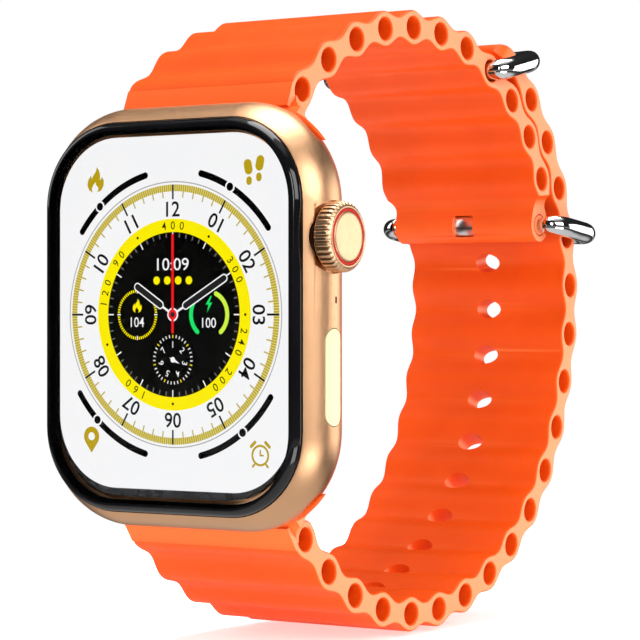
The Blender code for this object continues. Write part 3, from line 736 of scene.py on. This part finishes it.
def dial_ground():
    white = Sheet("dial_white", WHITE, 0, 1.02)
    white.polygon(rounded(15.4, 18.7, 7.7, 16, (0, 0.2)))
    white.done()
    thin = Sheet("dial_outline", (0.42, 0.40, 0.40), 1)
    thin.sector(13.93, 14.05)
    thin.done()


def dial_scale():
    """The fine olive track with its minute and hour marks, and the hour numbers."""
    olive = Sheet("dial_track", OLIVE, 1)
    pale = Sheet("dial_track_ground", (0.76, 0.67, 0.22), 0.5)
    pale.sector(13.0, 13.68)
    for i in range(300):
        olive.bar(i * 1.2, 12.98, 13.7, 0.085)
    for i in range(60):
        if i % 5:
            olive.bar(i * 6, 12.35, 13.0, 0.075)
    pale.done()
    olive.done()
    black = Sheet("dial_hours", BLACK, 2)
    for hour in range(12):
        black.bar(hour * 30, 12.15, 13.7, 0.11)
        black.text(f"{hour or 12:02d}", 1.6, at(hour * 30, 11.12), hour * 30, 1.02)
    black.done()


def dial_gauges():
    black = Sheet("dial_gauges", BLACK, 1)
    for start, end, _ in GAUGES:
        black.sector(14.85, 15.55, start, end)
        for angle in (start, end):
            black.disc(0.35, at(angle, 15.2), 20)
    black.done()
    rim = Sheet("dial_marker_rims", WHITE, 2)
    dot = Sheet("dial_markers", BLACK, 3)
    for _, _, marker in GAUGES:
        rim.disc(0.62, at(marker, 15.2), 28)
        dot.disc(0.43, at(marker, 15.2), 28)
    rim.done()
    dot.done()


def dial_middle():
    yellow = Sheet("dial_yellow_ring", YELLOW, 1)
    yellow.sector(8.6, 10.1)
    yellow.done()
    black = Sheet("dial_middle", BLACK, 2)
    black.disc(8.7, steps=96)
    for angle in (30, 90, 180, 250, 330):
        black.disc(0.15, at(angle, 9.4), 16)
    for angle, number in ((0, "400"), (60, "300"), (122, "240 200"), (212, "160"), (295, "120 90")):
        black.arc_text(number, 0.85, 9.4, angle, 7.2)
    black.done()
    white = Sheet("dial_minutes", WHITE, 3)
    grey = Sheet("dial_seconds", (0.16, 0.16, 0.17), 3)
    for i in range(60):
        if i % 5 == 0:
            white.bar(i * 6, 7.95, 8.68, 0.07)
        else:
            grey.bar(i * 6, 8.15, 8.6, 0.07)
    white.text("10:09", 1.3, (0, 5.3), 0, 1.15)
    left = (-4.73, 0)
    right = (4.75, 0.1)
    white.text("104", 1.05, (left[0], -0.8), 0, 0.95)
    white.text("100", 1.05, (right[0], -0.85), 0, 0.95)
    for angle in (0, 90, 180, 270):
        white.moved(*left).bar(angle, 2.25, 2.7, 0.07)
    white.hub = (0, 0)
    white.done()
    grey.done()


def dial_left_counter():
    dash = Sheet("dial_left_ring", YELLOW, 3).moved(-4.73, 0)
    for i in range(60):
        if i % 15:
            dash.bar(i * 6, 2.36, 2.66, 0.075)
    dash.hub = (0, 0)
    for x in (-2.15, -0.73, 0.71, 2.12):
        dash.disc(0.44, (x, 3.6), 24)
    flame(dash, (-4.73, 0.95), 1.5)
    dash.done()


def dial_right_counter():
    centre = (4.75, 0)
    for name, colour, start, end in (
        ("dial_green_arc", (0.01, 0.78, 0.14), -140, -62),
        ("dial_lime_arc", (0.62, 0.90, 0.06), 22, 140),
    ):
        sheet = Sheet(name, colour, 3).moved(*centre)
        sheet.sector(2.1, 2.6, start, end)
        for angle in (start, end):
            sheet.disc(0.25, at(angle, 2.35), 16)
        sheet.done()
    bolt = Sheet("dial_bolt", (0.01, 0.78, 0.14), 3)
    outline = [(0.25, 0.95), (-0.42, 0.02), (-0.02, 0.08), (-0.22, -0.8)]
    outline += [(0.48, 0.28), (0.08, 0.24), (0.42, 0.95)]
    bolt.moved(centre[0] - 0.05, 1.0).polygon(outline[::-1])
    bolt.done()


def dial_lower_counter():
    white = Sheet("dial_week_ring", WHITE, 3).moved(0, -4.75)
    yellow = Sheet("dial_week_marks", YELLOW, 3).moved(0, -4.75)
    for i in range(35):
        sheet = white if i % 5 else yellow
        sheet.bar(i * 360 / 35, 2.3, 2.62, 0.06)
    for day in range(7):
        turn = day * 360 / 7
        white.text(str(day + 1), 0.68, at(turn, 1.6), turn)
    white.disc(0.3, (0, 0), 20)
    white.polygon([at(25, 0.2), at(115, 1.0), at(205, 0.2)])
    white.polygon([at(205, 0.12), at(295, 0.55), at(25, 0.12)])
    white.done()
    yellow.done()


def flame(sheet, centre, height):
    """A flame: two tongues that lean together, with a small hollow at its foot."""
    x, z = centre
    s = height / 2
    points = [(0.08, 1.0), (-0.02, 0.62), (-0.3, 0.3), (-0.42, 0.05), (-0.5, 0.36), (-0.78, -0.02)]
    points += [(-0.86, -0.42), (-0.68, -0.8), (-0.32, -1.0), (-0.42, -0.72), (-0.28, -0.42), (-0.04, -0.18)]
    points += [(0.02, -0.44), (0.24, -0.6), (0.22, -0.82), (0.12, -0.98), (0.5, -0.86), (0.76, -0.5)]
    points += [(0.78, -0.08), (0.6, 0.22), (0.5, 0.02), (0.4, -0.04), (0.42, 0.34), (0.3, 0.72)]
    sheet.polygon([(x + u * s, z + v * s) for u, v in points[::-1]])


def dial_icons():
    """Four corner icons: a flame, footprints, a place pin and an alarm clock."""
    olive = Sheet("dial_icons", (0.50, 0.35, 0.004), 1)
    flame(olive, (-10.4, 14.5), 2.75)
    for side in (-1, 1):
        x = 10.5 + side * 0.68
        lift = 0.2 + 0.35 * (side > 0)
        olive.capsule((x, 14.75 + lift), (x + side * 0.12, 15.35 + lift), 0.5)
        olive.capsule((x - side * 0.06, 13.5 + lift), (x - side * 0.06, 13.72 + lift), 0.34)
    pin = (-11.0, -13.1)
    olive.sector(0.45, 1.05, -128, 128, 40, pin)
    foot = (at(-128, 1.05), (0, -1.75), at(128, 1.05), at(128, 0.45), (0, -0.45), at(-128, 0.45))
    olive.polygon([(pin[0] + u, pin[1] + v) for u, v in foot])
    clock = (11.3, -14.5)
    olive.sector(0.88, 1.12, 0, 360, 40, clock)
    olive.capsule(clock, (clock[0], clock[1] + 0.5), 0.09)
    olive.capsule(clock, (clock[0] + 0.35, clock[1]), 0.09)
    for side in (-1, 1):
        ear = (clock[0] + side * 0.95, clock[1] + 1.15)
        olive.capsule((ear[0] - side * 0.28, ear[1] + 0.2), (ear[0] + side * 0.2, ear[1] - 0.25), 0.17)
        foot = (clock[0] + side * 0.75, clock[1] - 0.95)
        olive.capsule(foot, (foot[0] + side * 0.2, foot[1] - 0.22), 0.12)
    olive.done()


def dial_hands():
    white = Sheet("dial_hand_rims", WHITE, 4)
    dark = Sheet("dial_hands", (0.012, 0.012, 0.014), 5)
    for angle, length, half in ((60.5, 8.15, 0.46), (-58.0, 6.0, 0.46)):
        white.bar(angle, 0.3, 2.0, 0.12)
        white.capsule(at(angle, 1.95), at(angle, length - half), half)
        dark.capsule(at(angle, 1.95), at(angle, length - half), half - 0.13)
    white.disc(0.72)
    white.done()
    dark.done()
    red = Sheet("dial_second_hand", (0.86, 0.008, 0.012), 6)
    red.bar(0, -1.95, 8.5, 0.165)
    red.disc(0.55)
    red.done()
    pin = Sheet("dial_hub", (0.02, 0.02, 0.022), 7)
    pin.disc(0.27, steps=24)
    pin.done()


def make_dial():
    dial_ground()
    dial_scale()
    dial_gauges()
    dial_middle()
    dial_left_counter()
    dial_right_counter()
    dial_lower_counter()
    dial_icons()
    dial_hands()


# Crown and side button.


def make_crown():
    """A knurled grip that is turned down to a smooth face with a red ring let into it."""
    base = CROWN.x - 1.05
    face = CROWN.x + 1.05
    stations = [(0.0, base, 0), (1.0, base, 0), (3.1, base, 0), (3.42, base + 0.1, 0.3)]
    stations += [(3.6, base + 0.3, 1), (3.65, base + 0.45, 1)]
    stations += [(3.65, base + t, 1) for t in (0.8, 1.2, 1.45)]
    stations += [(3.6, face - 0.42, 1), (3.48, face - 0.26, 0.7), (3.32, face - 0.13, 0.15)]
    stations += [(3.2, face - 0.05, 0), (3.06, face, 0), (2.99, face, 0)]
    stations += [(2.95, face - 0.04, 0), (2.94, face - 0.4, 0)]
    stations += [(2.6, face - 0.4, 0), (2.59, face - 0.04, 0), (2.55, face, 0), (2.2, face + 0.02, 0)]
    stations += [(1.0, face + 0.04, 0), (0.0, face + 0.045, 0)]
    teeth = 36

    def radius_at(station, radius, turn):
        notch = max(0.0, math.cos(teeth * turn)) ** 1.5
        return radius - 0.2 * stations[station][2] * notch

    profile = [(radius, along) for radius, along, _ in stations]
    centre = (0, CROWN.y, CROWN.z)
    knob = turned("crown_grip", profile, "X", centre, teeth * 10, radius_at)
    finished(knob, "crown_gold", "crown", ["crown_knob"], 60)
    ring = [(2.62, face - 0.38), (2.62, face - 0.06), (2.66, face - 0.02)]
    ring += [(2.86, face - 0.02), (2.91, face - 0.06), (2.91, face - 0.38)]
    finished(turned("crown_red_ring", ring, "X", centre, 128), "red_inlay", "crown", ["crown_inlay"])


def button_pill(grow):
    return pill(BUTTON_HALF_WIDTH, BUTTON_HALF_HEIGHT, grow)


def make_side_button():
    """A pill whose face follows the case's round edge, with a softened rim."""
    button = plate(
        "side_button_cap", [button_pill(-0.12)], 16.9, 20, FACING_SIDE, 0.12, 4, (BUTTON.y, BUTTON.z)
    )
    edge_x = CASE_SIDE_X - EDGE_RADIUS
    face = rod("face", (edge_x, CASE_MID_Y, -15), (edge_x, CASE_MID_Y, 2), EDGE_RADIUS + 0.03, 160)
    combine(button, face, "INTERSECT")
    rim = button.modifiers.new("rim", "BEVEL")
    rim.width = 0.07 * MM
    rim.segments = 2
    rim.limit_method = "ANGLE"
    rim.angle_limit = math.radians(40)
    button.data = evaluated_mesh(button, "side_button_cap")
    button.modifiers.clear()
    finished(button, "cream_button", "side_button", ["side_button"])


# Rear.


def make_rear():
    """The domed sensor window with its steel trim ring."""
    low, high = box_mm("sensor_window")
    radius = high.x
    dome = [(0, low.y), (radius - 0.1, low.y), (radius, low.y + 0.1), (radius, -1.3)]
    dome += [(radius * math.cos(t), -1.3 + 1.3 * math.sin(t)) for t in (0.12, 0.25, 0.4, 0.55, 0.72)]
    dome += [(7.0, -0.3), (6.4, -0.12), (5.7, -0.03), (5.0, 0.0), (0, 0)]
    window = turned("sensor_dome", dome, "Y", (0, 0, 0), 128)
    finished(window, "black_glass", "case", ["sensor_window"])
    ring = [(radius + 0.02, -1.35), (radius + 0.02, -1.16), (radius + 0.35, -1.14), (radius + 0.5, -1.28)]
    ring.append((radius + 0.5, -1.35))
    finished(turned("sensor_trim", ring, "Y", (0, 0, 0), 128), "steel", "case")


# Band.


def on_loop(angle, radius):
    turn = math.radians(angle)
    return Vector((radius * math.cos(turn), radius * math.sin(turn)))


def buckle_half_middle(angle):
    last = FIRST_TUBE_ANGLE - BUCKLE_HALF_STEP * (BUCKLE_HALF_TUBES - 1)
    turn_in = max(75 - angle, 0) / (75 - last)
    opening = max(angle - 90, 0) / (FIRST_TUBE_ANGLE - 90)
    return on_loop(angle, INNER_RADIUS + 1.6 * opening**1.3 - 2.1 * turn_in**4.2)


def hole_half_middle(angle):
    lift = 0.6 * (max(angle - TAIL_START, 0) / (TIP_ANGLE - TAIL_START)) ** 2
    return on_loop(angle, OUTER_RADIUS + 0.0385 * max(angle + 14, 0) + lift)


def frame_on(middle, angle):
    point = middle(angle)
    along = (middle(angle + 0.1) - middle(angle - 0.1)).normalized()
    return point, Vector((along.y, -along.x)), along


def half_thickness(phase):
    return (TUBE_HALF + WEB_HALF) / 2 + (TUBE_HALF - WEB_HALF) / 2 * math.cos(phase)


def round_end(middle, angle, half, sign, steps=16):
    point, out, along = frame_on(middle, angle)
    turns = [math.pi * i / steps for i in range(1, steps)]
    return [point + half * (out * math.cos(t) + along * sign * math.sin(t)) for t in turns]


def band_outline(middle, first, step, count, tip=None, samples=24):
    last = first + step * (count - 1)
    steps = samples * (count - 1)
    angles = [first + step * i / samples for i in range(steps + 1)]
    halves = [half_thickness(math.tau * i / samples) for i in range(steps + 1)]
    if tip is not None:
        tail = samples // 2
        angles += [last + step * i / samples for i in range(1, tail + 1)]
        halves += [half_thickness(math.tau * i / samples) for i in range(1, tail + 1)]
        rest = (tip - angles[-1]) / tail
        angles += [angles[-1] + rest * i for i in range(1, tail + 1)]
        halves += [WEB_HALF + (TAIL_HALF - WEB_HALF) * min(i / 5, 1) for i in range(1, tail + 1)]
    outer = []
    inner = []
    for angle, half in zip(angles, halves):
        point, out, _ = frame_on(middle, angle)
        outer.append(point + out * (half - BAND_EDGE))
        inner.append(point - out * (half - BAND_EDGE))
    forward = math.copysign(1, step)
    finish = round_end(middle, angles[-1], halves[-1] - BAND_EDGE, forward)
    start = round_end(middle, first, TUBE_HALF - BAND_EDGE, -forward)
    return [tuple(p) for p in outer + finish + inner[::-1] + start[::-1]]


def band_plate(name, middle, first, step, count, tip=None, pin_bore=None):
    loops = [band_outline(middle, first, step, count, tip)]
    for i in range(count):
        centre, out, along = frame_on(middle, first + step * i)
        ring = circle(1, steps=32)
        radial, tangent = (PIN_BORE, PIN_BORE) if i == pin_bore else (BORE_RADIAL, BORE_ALONG)
        radial += BAND_EDGE
        tangent += BAND_EDGE
        loops.append([tuple(centre + out * u * radial + along * v * tangent) for u, v in ring])
    return plate(
        name, loops, -BAND_HALF_WIDTH, BAND_HALF_WIDTH, FACING_SIDE, BAND_EDGE, 4, (LOOP_Y, 0)
    )


def lug_piece(side, middle):
    """The lug in its slot: a bar and a blade cut to the case's outline, and a stem that flares to meet them.

    A fairing carries the outer face of the band's first tube down to the case, and the tube stays open. The
    release button and its latch have a pocket each.
    """
    y, z = lug_frame(side)
    tilt = side * QUARTER / 2
    bar = rod("lug", (-18, y, z), (18, y, z), LUG_RADIUS)
    blade = flat_blade("blade", [(-18, 0), (18, 0), (18, 4), (-18, 4)], BLADE_HALF, (0, y, z), tilt)
    combine(bar, blade, "UNION")
    combine(bar, case_slab("envelope", 0.3), "INTERSECT")
    edge = BAND_HALF_WIDTH
    flare = arc((edge + 2.9, 4.6), 2.9, 240, 180, 14)
    right = [(flare[0][0], 0.3), *flare, (edge, 5.4)]
    outline = right + [(-x, v) for x, v in reversed(right)]
    combine(bar, flat_blade("stem", outline, 1.15, (0, y, z), tilt), "UNION")
    centre, out, along = frame_on(middle, side * FIRST_TUBE_ANGLE)
    tube = Vector((LOOP_Y + centre.x, side * centre.y))
    edge_z = CASE_TOP_Z - EDGE_RADIUS
    under = arc((CASE_MID_Y, edge_z), EDGE_RADIUS + 0.2, 64, 52, 4)
    foot = Vector(under[0])
    apart = tube - foot
    slope = math.atan2(apart.y, apart.x) + math.asin(TUBE_HALF / apart.length)
    reach = math.sqrt(apart.length**2 - TUBE_HALF**2)
    touch = foot + Vector((math.cos(slope), math.sin(slope))) * reach
    inner = [tube + Vector(p) for p in arc((0, 0), TUBE_HALF - 0.3, 240, 150, 6)]
    profile = [tuple(touch), *under, *[tuple(p) for p in inner]]
    loop = [(u, side * v) for u, v in profile]
    combine(bar, plate("fairing", [loop], -edge, edge, FACING_SIDE), "UNION")
    bore = [centre + out * u * BORE_RADIAL + along * v * BORE_ALONG for u, v in circle(1, steps=32)]
    loop = [(LOOP_Y + p.x, p.y) for p in bore]
    release_z = side * RELEASE_Z
    return cut(
        bar,
        plate("first_bore", [loop], -edge - 4, edge + 4, FACING_SIDE),
        plate("release_relief", [pill(3.1, 0.8)], -2.95, 0, FACING_FRONT, origin=(0, release_z)),
        rod("latch_pocket", (0, -5.1, release_z), (0, -2.5, release_z), 0.55),
    )


def flat_blade(name, outline, half, place, tilt):
    curve = bpy.data.curves.new(name, "CURVE")
    curve.dimensions = "2D"
    curve.fill_mode = "BOTH"
    curve.extrude = half * MM
    spline = curve.splines.new("POLY")
    spline.points.add(len(outline) - 1)
    for point, (u, v) in zip(spline.points, outline):
        point.co = (u * MM, v * MM, 0, 1)
    spline.use_cyclic_u = True
    return curve_to_object(name, curve, place, (tilt, 0, 0))


def through_band(name, middle, angle, outline):
    """A cutter through the band's thickness, from an outline of (across, along) points on a middle line."""
    point, _, along = frame_on(middle, angle)
    return flat_blade(name, outline, 3, (0, LOOP_Y + point.x, point.y), math.atan2(along.y, along.x))


def end_shoulder(side):
    """What the buckle half's last tube lacks at one end: it is shorter than the band is wide."""
    angle = FIRST_TUBE_ANGLE - BUCKLE_HALF_STEP * (BUCKLE_HALF_TUBES - 1)
    shoulder = arc((END_TUBE_HALF + END_SHOULDER, 1.6), END_SHOULDER, 180, 115, 12)
    outline = [(22, -4), (END_TUBE_HALF, -4), *shoulder, (22, shoulder[-1][1])]
    return through_band("shoulder", buckle_half_middle, angle, [(side * u, v) for u, v in outline])


def end_groove(side):
    """A fine round groove where the buckle's pin enters the last tube."""
    low, high = sorted((side * (END_TUBE_HALF - 0.35), side * (END_TUBE_HALF + 0.3)))
    origin = tuple(BUCKLE_AXIS.yz)
    return plate("groove", [circle(1.36), circle(1.22)], low, high, FACING_SIDE, origin=origin)


def make_buckle_half():
    half = band_plate(
        "band_with_buckle", buckle_half_middle, FIRST_TUBE_ANGLE, -BUCKLE_HALF_STEP, BUCKLE_HALF_TUBES,
        pin_bore=BUCKLE_HALF_TUBES - 1,
    )
    y, z = BUCKLE_AXIS.yz
    front = [rounded(1.42, 1.3, 0.3, 8)]
    back = [rounded(1.42, 1.5, 0.5, 8)]
    cut(
        half,
        plate("window_front", front, y - 4, y, FACING_FRONT, origin=(0, z)),
        plate("window_back", back, y - 0.5, y + 4, FACING_FRONT, origin=(0, z + 0.2)),
        end_shoulder(1),
        end_shoulder(-1),
        end_groove(1),
        end_groove(-1),
    )
    combine(half, lug_piece(1, buckle_half_middle), "UNION")
    finished(half, "orange_silicone", "band_upper", ["band_buckle_half", "band_lug_upper"], 40)


def make_hole_half():
    half = band_plate(
        "band_with_holes", hole_half_middle, -FIRST_TUBE_ANGLE, HOLE_HALF_STEP, HOLE_HALF_TUBES, TIP_ANGLE
    )
    cut(half, tip_cutter())
    outline = [(HOLE_HALF_WIDTH * u, HOLE_HALF_HEIGHT * v) for u, v in circle(1, steps=40)]
    for web in range(FIRST_HOLED_WEB, HOLE_HALF_TUBES - 1):
        angle = -FIRST_TUBE_ANGLE + HOLE_HALF_STEP * (web + 0.5)
        cut(half, through_band("hole", hole_half_middle, angle, outline))
    combine(half, lug_piece(-1, hole_half_middle), "UNION")
    finished(half, "orange_silicone", "band_lower", ["band_hole_half", "band_lug_lower"], 40)


def tip_cutter():
    """What lies outside the rounded free end of the band."""
    half = BAND_HALF_WIDTH
    end = TAIL_HALF
    low = end - TIP_CORNER
    side = half + 2
    outline = [(side, low), (half, low), *arc((half - TIP_CORNER, low), TIP_CORNER, 0, 90, 24)[1:]]
    outline += [*arc((TIP_CORNER - half, low), TIP_CORNER, 90, 180, 24), (-side, low)]
    outline += [(-side, end + 3), (side, end + 3)]
    return through_band("tip", hole_half_middle, TIP_ANGLE, outline)


# Buckle, tongue and keeper.


def swept(name, points, radii, place):
    curve = bpy.data.curves.new(name, "CURVE")
    curve.dimensions = "3D"
    curve.bevel_depth = MM
    curve.bevel_resolution = 10
    curve.use_fill_caps = True
    spline = curve.splines.new("POLY")
    spline.points.add(len(points) - 1)
    for point, where, radius in zip(spline.points, points, radii):
        point.co = (*(Vector(where) * MM), 1)
        point.radius = radius
    return curve_to_object(name, curve, place)


def smooth_path(points, count=120):
    """A smooth curve through points, at even steps of the spline's parameter."""
    found = []
    spans = len(points) - 1
    padded = [points[0] * 2 - points[1], *points, points[-1] * 2 - points[-2]]
    for i in range(count + 1):
        t = min(i / count * spans, spans - 1e-9)
        k = int(t)
        f = t - k
        a, b, c, d = padded[k : k + 4]
        bend = (2 * a - 5 * b + 4 * c - d) * f**2 + (3 * b - a - 3 * c + d) * f**3
        found.append(0.5 * (2 * b + (c - a) * f + bend))
    return found


def make_ring(name, axis, reach, tilt, stub, tube_end, body, node):
    """A polished rod bent to a C: thin in the band's tube, full on its arms, a little slimmer across."""
    arm = 12.4
    corner = 3.0
    half = [(8.6, 0), (10.2, 0), (11.1, 0.15), (11.9, 0.75), (12.3, 1.8), (arm, 3.2)]
    half += [(arm, (3.2 + reach - corner) / 2), *arc((arm - corner, reach - corner), corner, 0, 90, 6)]
    half += [(arm - corner - 3, reach), (3, reach)]
    path = half + [(-x, v) for x, v in reversed(half)]
    smooth = smooth_path([Vector(p) for p in path], 200)
    turn = math.radians(tilt)
    points = [(p.x, p.y * math.cos(turn), p.y * math.sin(turn)) for p in smooth]
    radii = []
    for p in smooth:
        grown = min(max((abs(p.x) - tube_end + p.y) / 1.3, 0), 1)
        inward = min(max((12.2 - abs(p.x)) / 2.5, 0), 1) if p.y > 5 else 0
        full = RING_ROD - 0.2 * inward
        radii.append(stub + (full - stub) * (grown * grown * (3 - 2 * grown)))
    finished(swept(name, points, radii, (0, axis.y, axis.z)), "polished_steel", body, [node], 60)


def make_tongue():
    """A rolled barrel on the buckle's bar, with a prong through the band that rests on the buckle ring."""
    centre = (0, BUCKLE_AXIS.y, BUCKLE_AXIS.z)
    barrel = [(0.5, -1.38), (1.76, -1.38), (1.8, -1.34), (1.8, 1.34), (1.76, 1.38), (0.5, 1.38)]
    tongue = turned("tongue_prong", barrel, "X", centre, 96)
    y, z = BUCKLE_AXIS.yz
    roll = plate("roll", [rounded(2, 1.2, 0.3)], y - 3, y + 3, FACING_FRONT, origin=(0, z))
    combine(tongue, roll, "INTERSECT")
    cut(tongue, plate("seam", [rounded(2, 0.09, 0.05)], y - 3, y - 1.6, FACING_FRONT, origin=(0, z - 0.25)))
    places = [(0.9, 0.3), (4.0, 1.6), (6.0, 2.3), (7.6, 2.2), (9.0, 1.35), (10.2, 0.62), (10.9, 0.0)]
    path = smooth_path([Vector((0, y, z)) for y, z in places], 60)
    radii = [0.5 - 0.12 * max(i / 60 - 0.8, 0) * 5 for i in range(61)]
    prong = swept("prong", [tuple(p) for p in path], radii, centre)
    combine(tongue, prong, "UNION")
    tongue.data.materials.clear()
    tongue.data.materials.append(MATERIALS["bright_steel"])
    finished(tongue, "polished_steel", "tongue", ["tongue"], 60)


def dress_cad_nodes():
    """Gives every node that is shown as it is the finish of its material slot; the crown bush instead gets a dark
    brown that paints the shade in the gap behind the crown.
    """
    slots = {part["node"]: part["material_slot"] for part in frame["record"]["subparts"]}
    for name, node in frame["nodes"].items():
        node.data.materials.clear()
        node.data.materials.append(MATERIALS["bush_painted_shade" if name == "crown_bush" else slots[name]])


# Studio.


def area_light(name, place, target, size, power):
    light = bpy.data.lights.new(name, "AREA")
    light.shape = "RECTANGLE"
    light.size, light.size_y = size
    light.energy = power
    obj = bpy.data.objects.new(name, light)
    bpy.context.scene.collection.objects.link(obj)
    obj.location = place
    obj.rotation_euler = (Vector(target) - Vector(place)).to_track_quat("-Z", "Y").to_euler()


def make_studio():
    low = CAD_BOX[0]
    bm = bmesh.new()
    bmesh.ops.create_circle(bm, cap_ends=True, segments=96, radius=0.15)
    floor = object_of("floor", bm)
    floor.location = (0, LOOP_Y * MM, low.z - 0.0005)
    nodes = Nodes("floor")
    speckle = nodes.spread(nodes.noise(3.0), 0, 1)
    pale = nodes.mix(speckle, (0.93, 0.93, 0.93), (0.95, 0.95, 0.95))
    nodes.link(pale, nodes.shader.inputs["Base Color"])
    nodes.link(pale, nodes.shader.inputs["Emission Color"])
    nodes.set(Roughness=0.9, Emission_Strength=0.55)
    floor.data.materials.append(nodes.material)
    floor.visible_glossy = False
    target = (0.0, 0.02, 0.0)
    area_light("key", (0.50, -0.12, 0.20), target, (0.4, 0.3), 1.75)
    area_light("top", (0.0, 0.05, 0.45), target, (0.25, 0.5), 2.2)
    area_light("left", (-0.45, -0.10, 0.22), target, (0.25, 0.4), 0.6)
    area_light("beside_camera", (0.30, -0.40, 0.14), target, (0.07, 0.22), 0.39)
    area_light("far_side", (0.33, 0.50, 0.02), target, (0.5, 0.35), 1.1)
    area_light("low_side", (0.42, -0.10, -0.22), target, (0.35, 0.14), 0.7)
    make_world()


def make_world():
    """White behind the object, soft grey light, and a dark room with pale bands for reflections.

    A black flag to the front left keeps the glass deep.
    """
    world = bpy.data.worlds.new("studio")
    bpy.context.scene.world = world
    world.use_nodes = True
    tree = world.node_tree
    tree.nodes.clear()
    coords = tree.nodes.new("ShaderNodeTexCoord")
    split = tree.nodes.new("ShaderNodeSeparateXYZ")
    ramp = tree.nodes.new("ShaderNodeValToRGB")
    height = tree.nodes.new("ShaderNodeMapRange")
    height.inputs["From Min"].default_value = -1
    bands = [(0.0, 1.0), (0.2, 0.9), (0.27, 0.1), (0.36, 0.03), (0.39, 0.7), (0.43, 0.04)]
    bands += [(0.62, 0.02), (0.88, 0.04), (0.93, 1.0)]
    while len(ramp.color_ramp.elements) < len(bands):
        ramp.color_ramp.elements.new(0.5)
    for element, (place, level) in zip(ramp.color_ramp.elements, bands):
        element.position = place
        element.color = (level, level, level, 1)
    facing = tree.nodes.new("ShaderNodeVectorMath")
    facing.operation = "DOT_PRODUCT"
    facing.inputs[1].default_value = (-0.563, -0.827, 0)
    flag = tree.nodes.new("ShaderNodeMapRange")
    for key, number in (("From Min", 0.80), ("From Max", 0.95), ("To Min", 0.75), ("To Max", 0.02)):
        flag.inputs[key].default_value = number
    room = tree.nodes.new("ShaderNodeBackground")
    backdrop = tree.nodes.new("ShaderNodeBackground")
    backdrop.inputs["Color"].default_value = (1, 1, 1, 1)
    path = tree.nodes.new("ShaderNodeLightPath")
    soft = tree.nodes.new("ShaderNodeBackground")
    soft.inputs["Color"].default_value = (1, 1, 1, 1)
    soft.inputs["Strength"].default_value = 0.37
    spread = tree.nodes.new("ShaderNodeMixShader")
    mix = tree.nodes.new("ShaderNodeMixShader")
    out = tree.nodes.new("ShaderNodeOutputWorld")
    for source, socket in (
        (coords.outputs["Generated"], split.inputs[0]),
        (coords.outputs["Generated"], facing.inputs[0]),
        (facing.outputs["Value"], flag.inputs["Value"]),
        (flag.outputs["Result"], room.inputs["Strength"]),
        (split.outputs["Z"], height.inputs["Value"]),
        (height.outputs["Result"], ramp.inputs["Fac"]),
        (ramp.outputs["Color"], room.inputs["Color"]),
        (path.outputs["Is Camera Ray"], mix.inputs[0]),
        (path.outputs["Is Diffuse Ray"], spread.inputs[0]),
        (room.outputs[0], spread.inputs[1]),
        (soft.outputs[0], spread.inputs[2]),
        (spread.outputs[0], mix.inputs[1]),
        (backdrop.outputs[0], mix.inputs[2]),
        (mix.outputs[0], out.inputs["Surface"]),
    ):
        tree.links.new(source, socket)


def make_camera():
    """Level with the case, turned 34 degrees to the crown side."""
    azimuth = math.radians(34.25)
    distance = 0.297
    centre = Vector((0, 0.01845, 0))
    camera = bpy.data.cameras.new("camera")
    camera.lens = 146.4
    camera.shift_y = -0.0047
    camera.clip_start = 0.01
    obj = bpy.data.objects.new("camera", camera)
    bpy.context.scene.collection.objects.link(obj)
    back = Vector((math.sin(azimuth), -math.cos(azimuth), 0))
    obj.location = centre + back * distance
    obj.rotation_euler = (-back).to_track_quat("-Z", "Y").to_euler()
    bpy.context.scene.camera = obj


def main():
    bpy.context.scene.view_settings.view_transform = "Standard"
    dress_cad_nodes()
    make_case()
    make_cover_glass()
    make_dial()
    make_crown()
    make_side_button()
    make_rear()
    make_buckle_half()
    make_hole_half()
    make_ring("buckle_ring", BUCKLE_AXIS, 9.34, -6.5, 0.5, END_TUBE_HALF - 0.2, "buckle", "buckle_frame")
    make_ring("keeper_ring", KEEPER_AXIS, 9.05, 13.0, 1.05, BAND_HALF_WIDTH, "keeper", "keeper_loop")
    make_tongue()
    make_camera()
    make_studio()
    bpy.context.view_layer.update()


main()
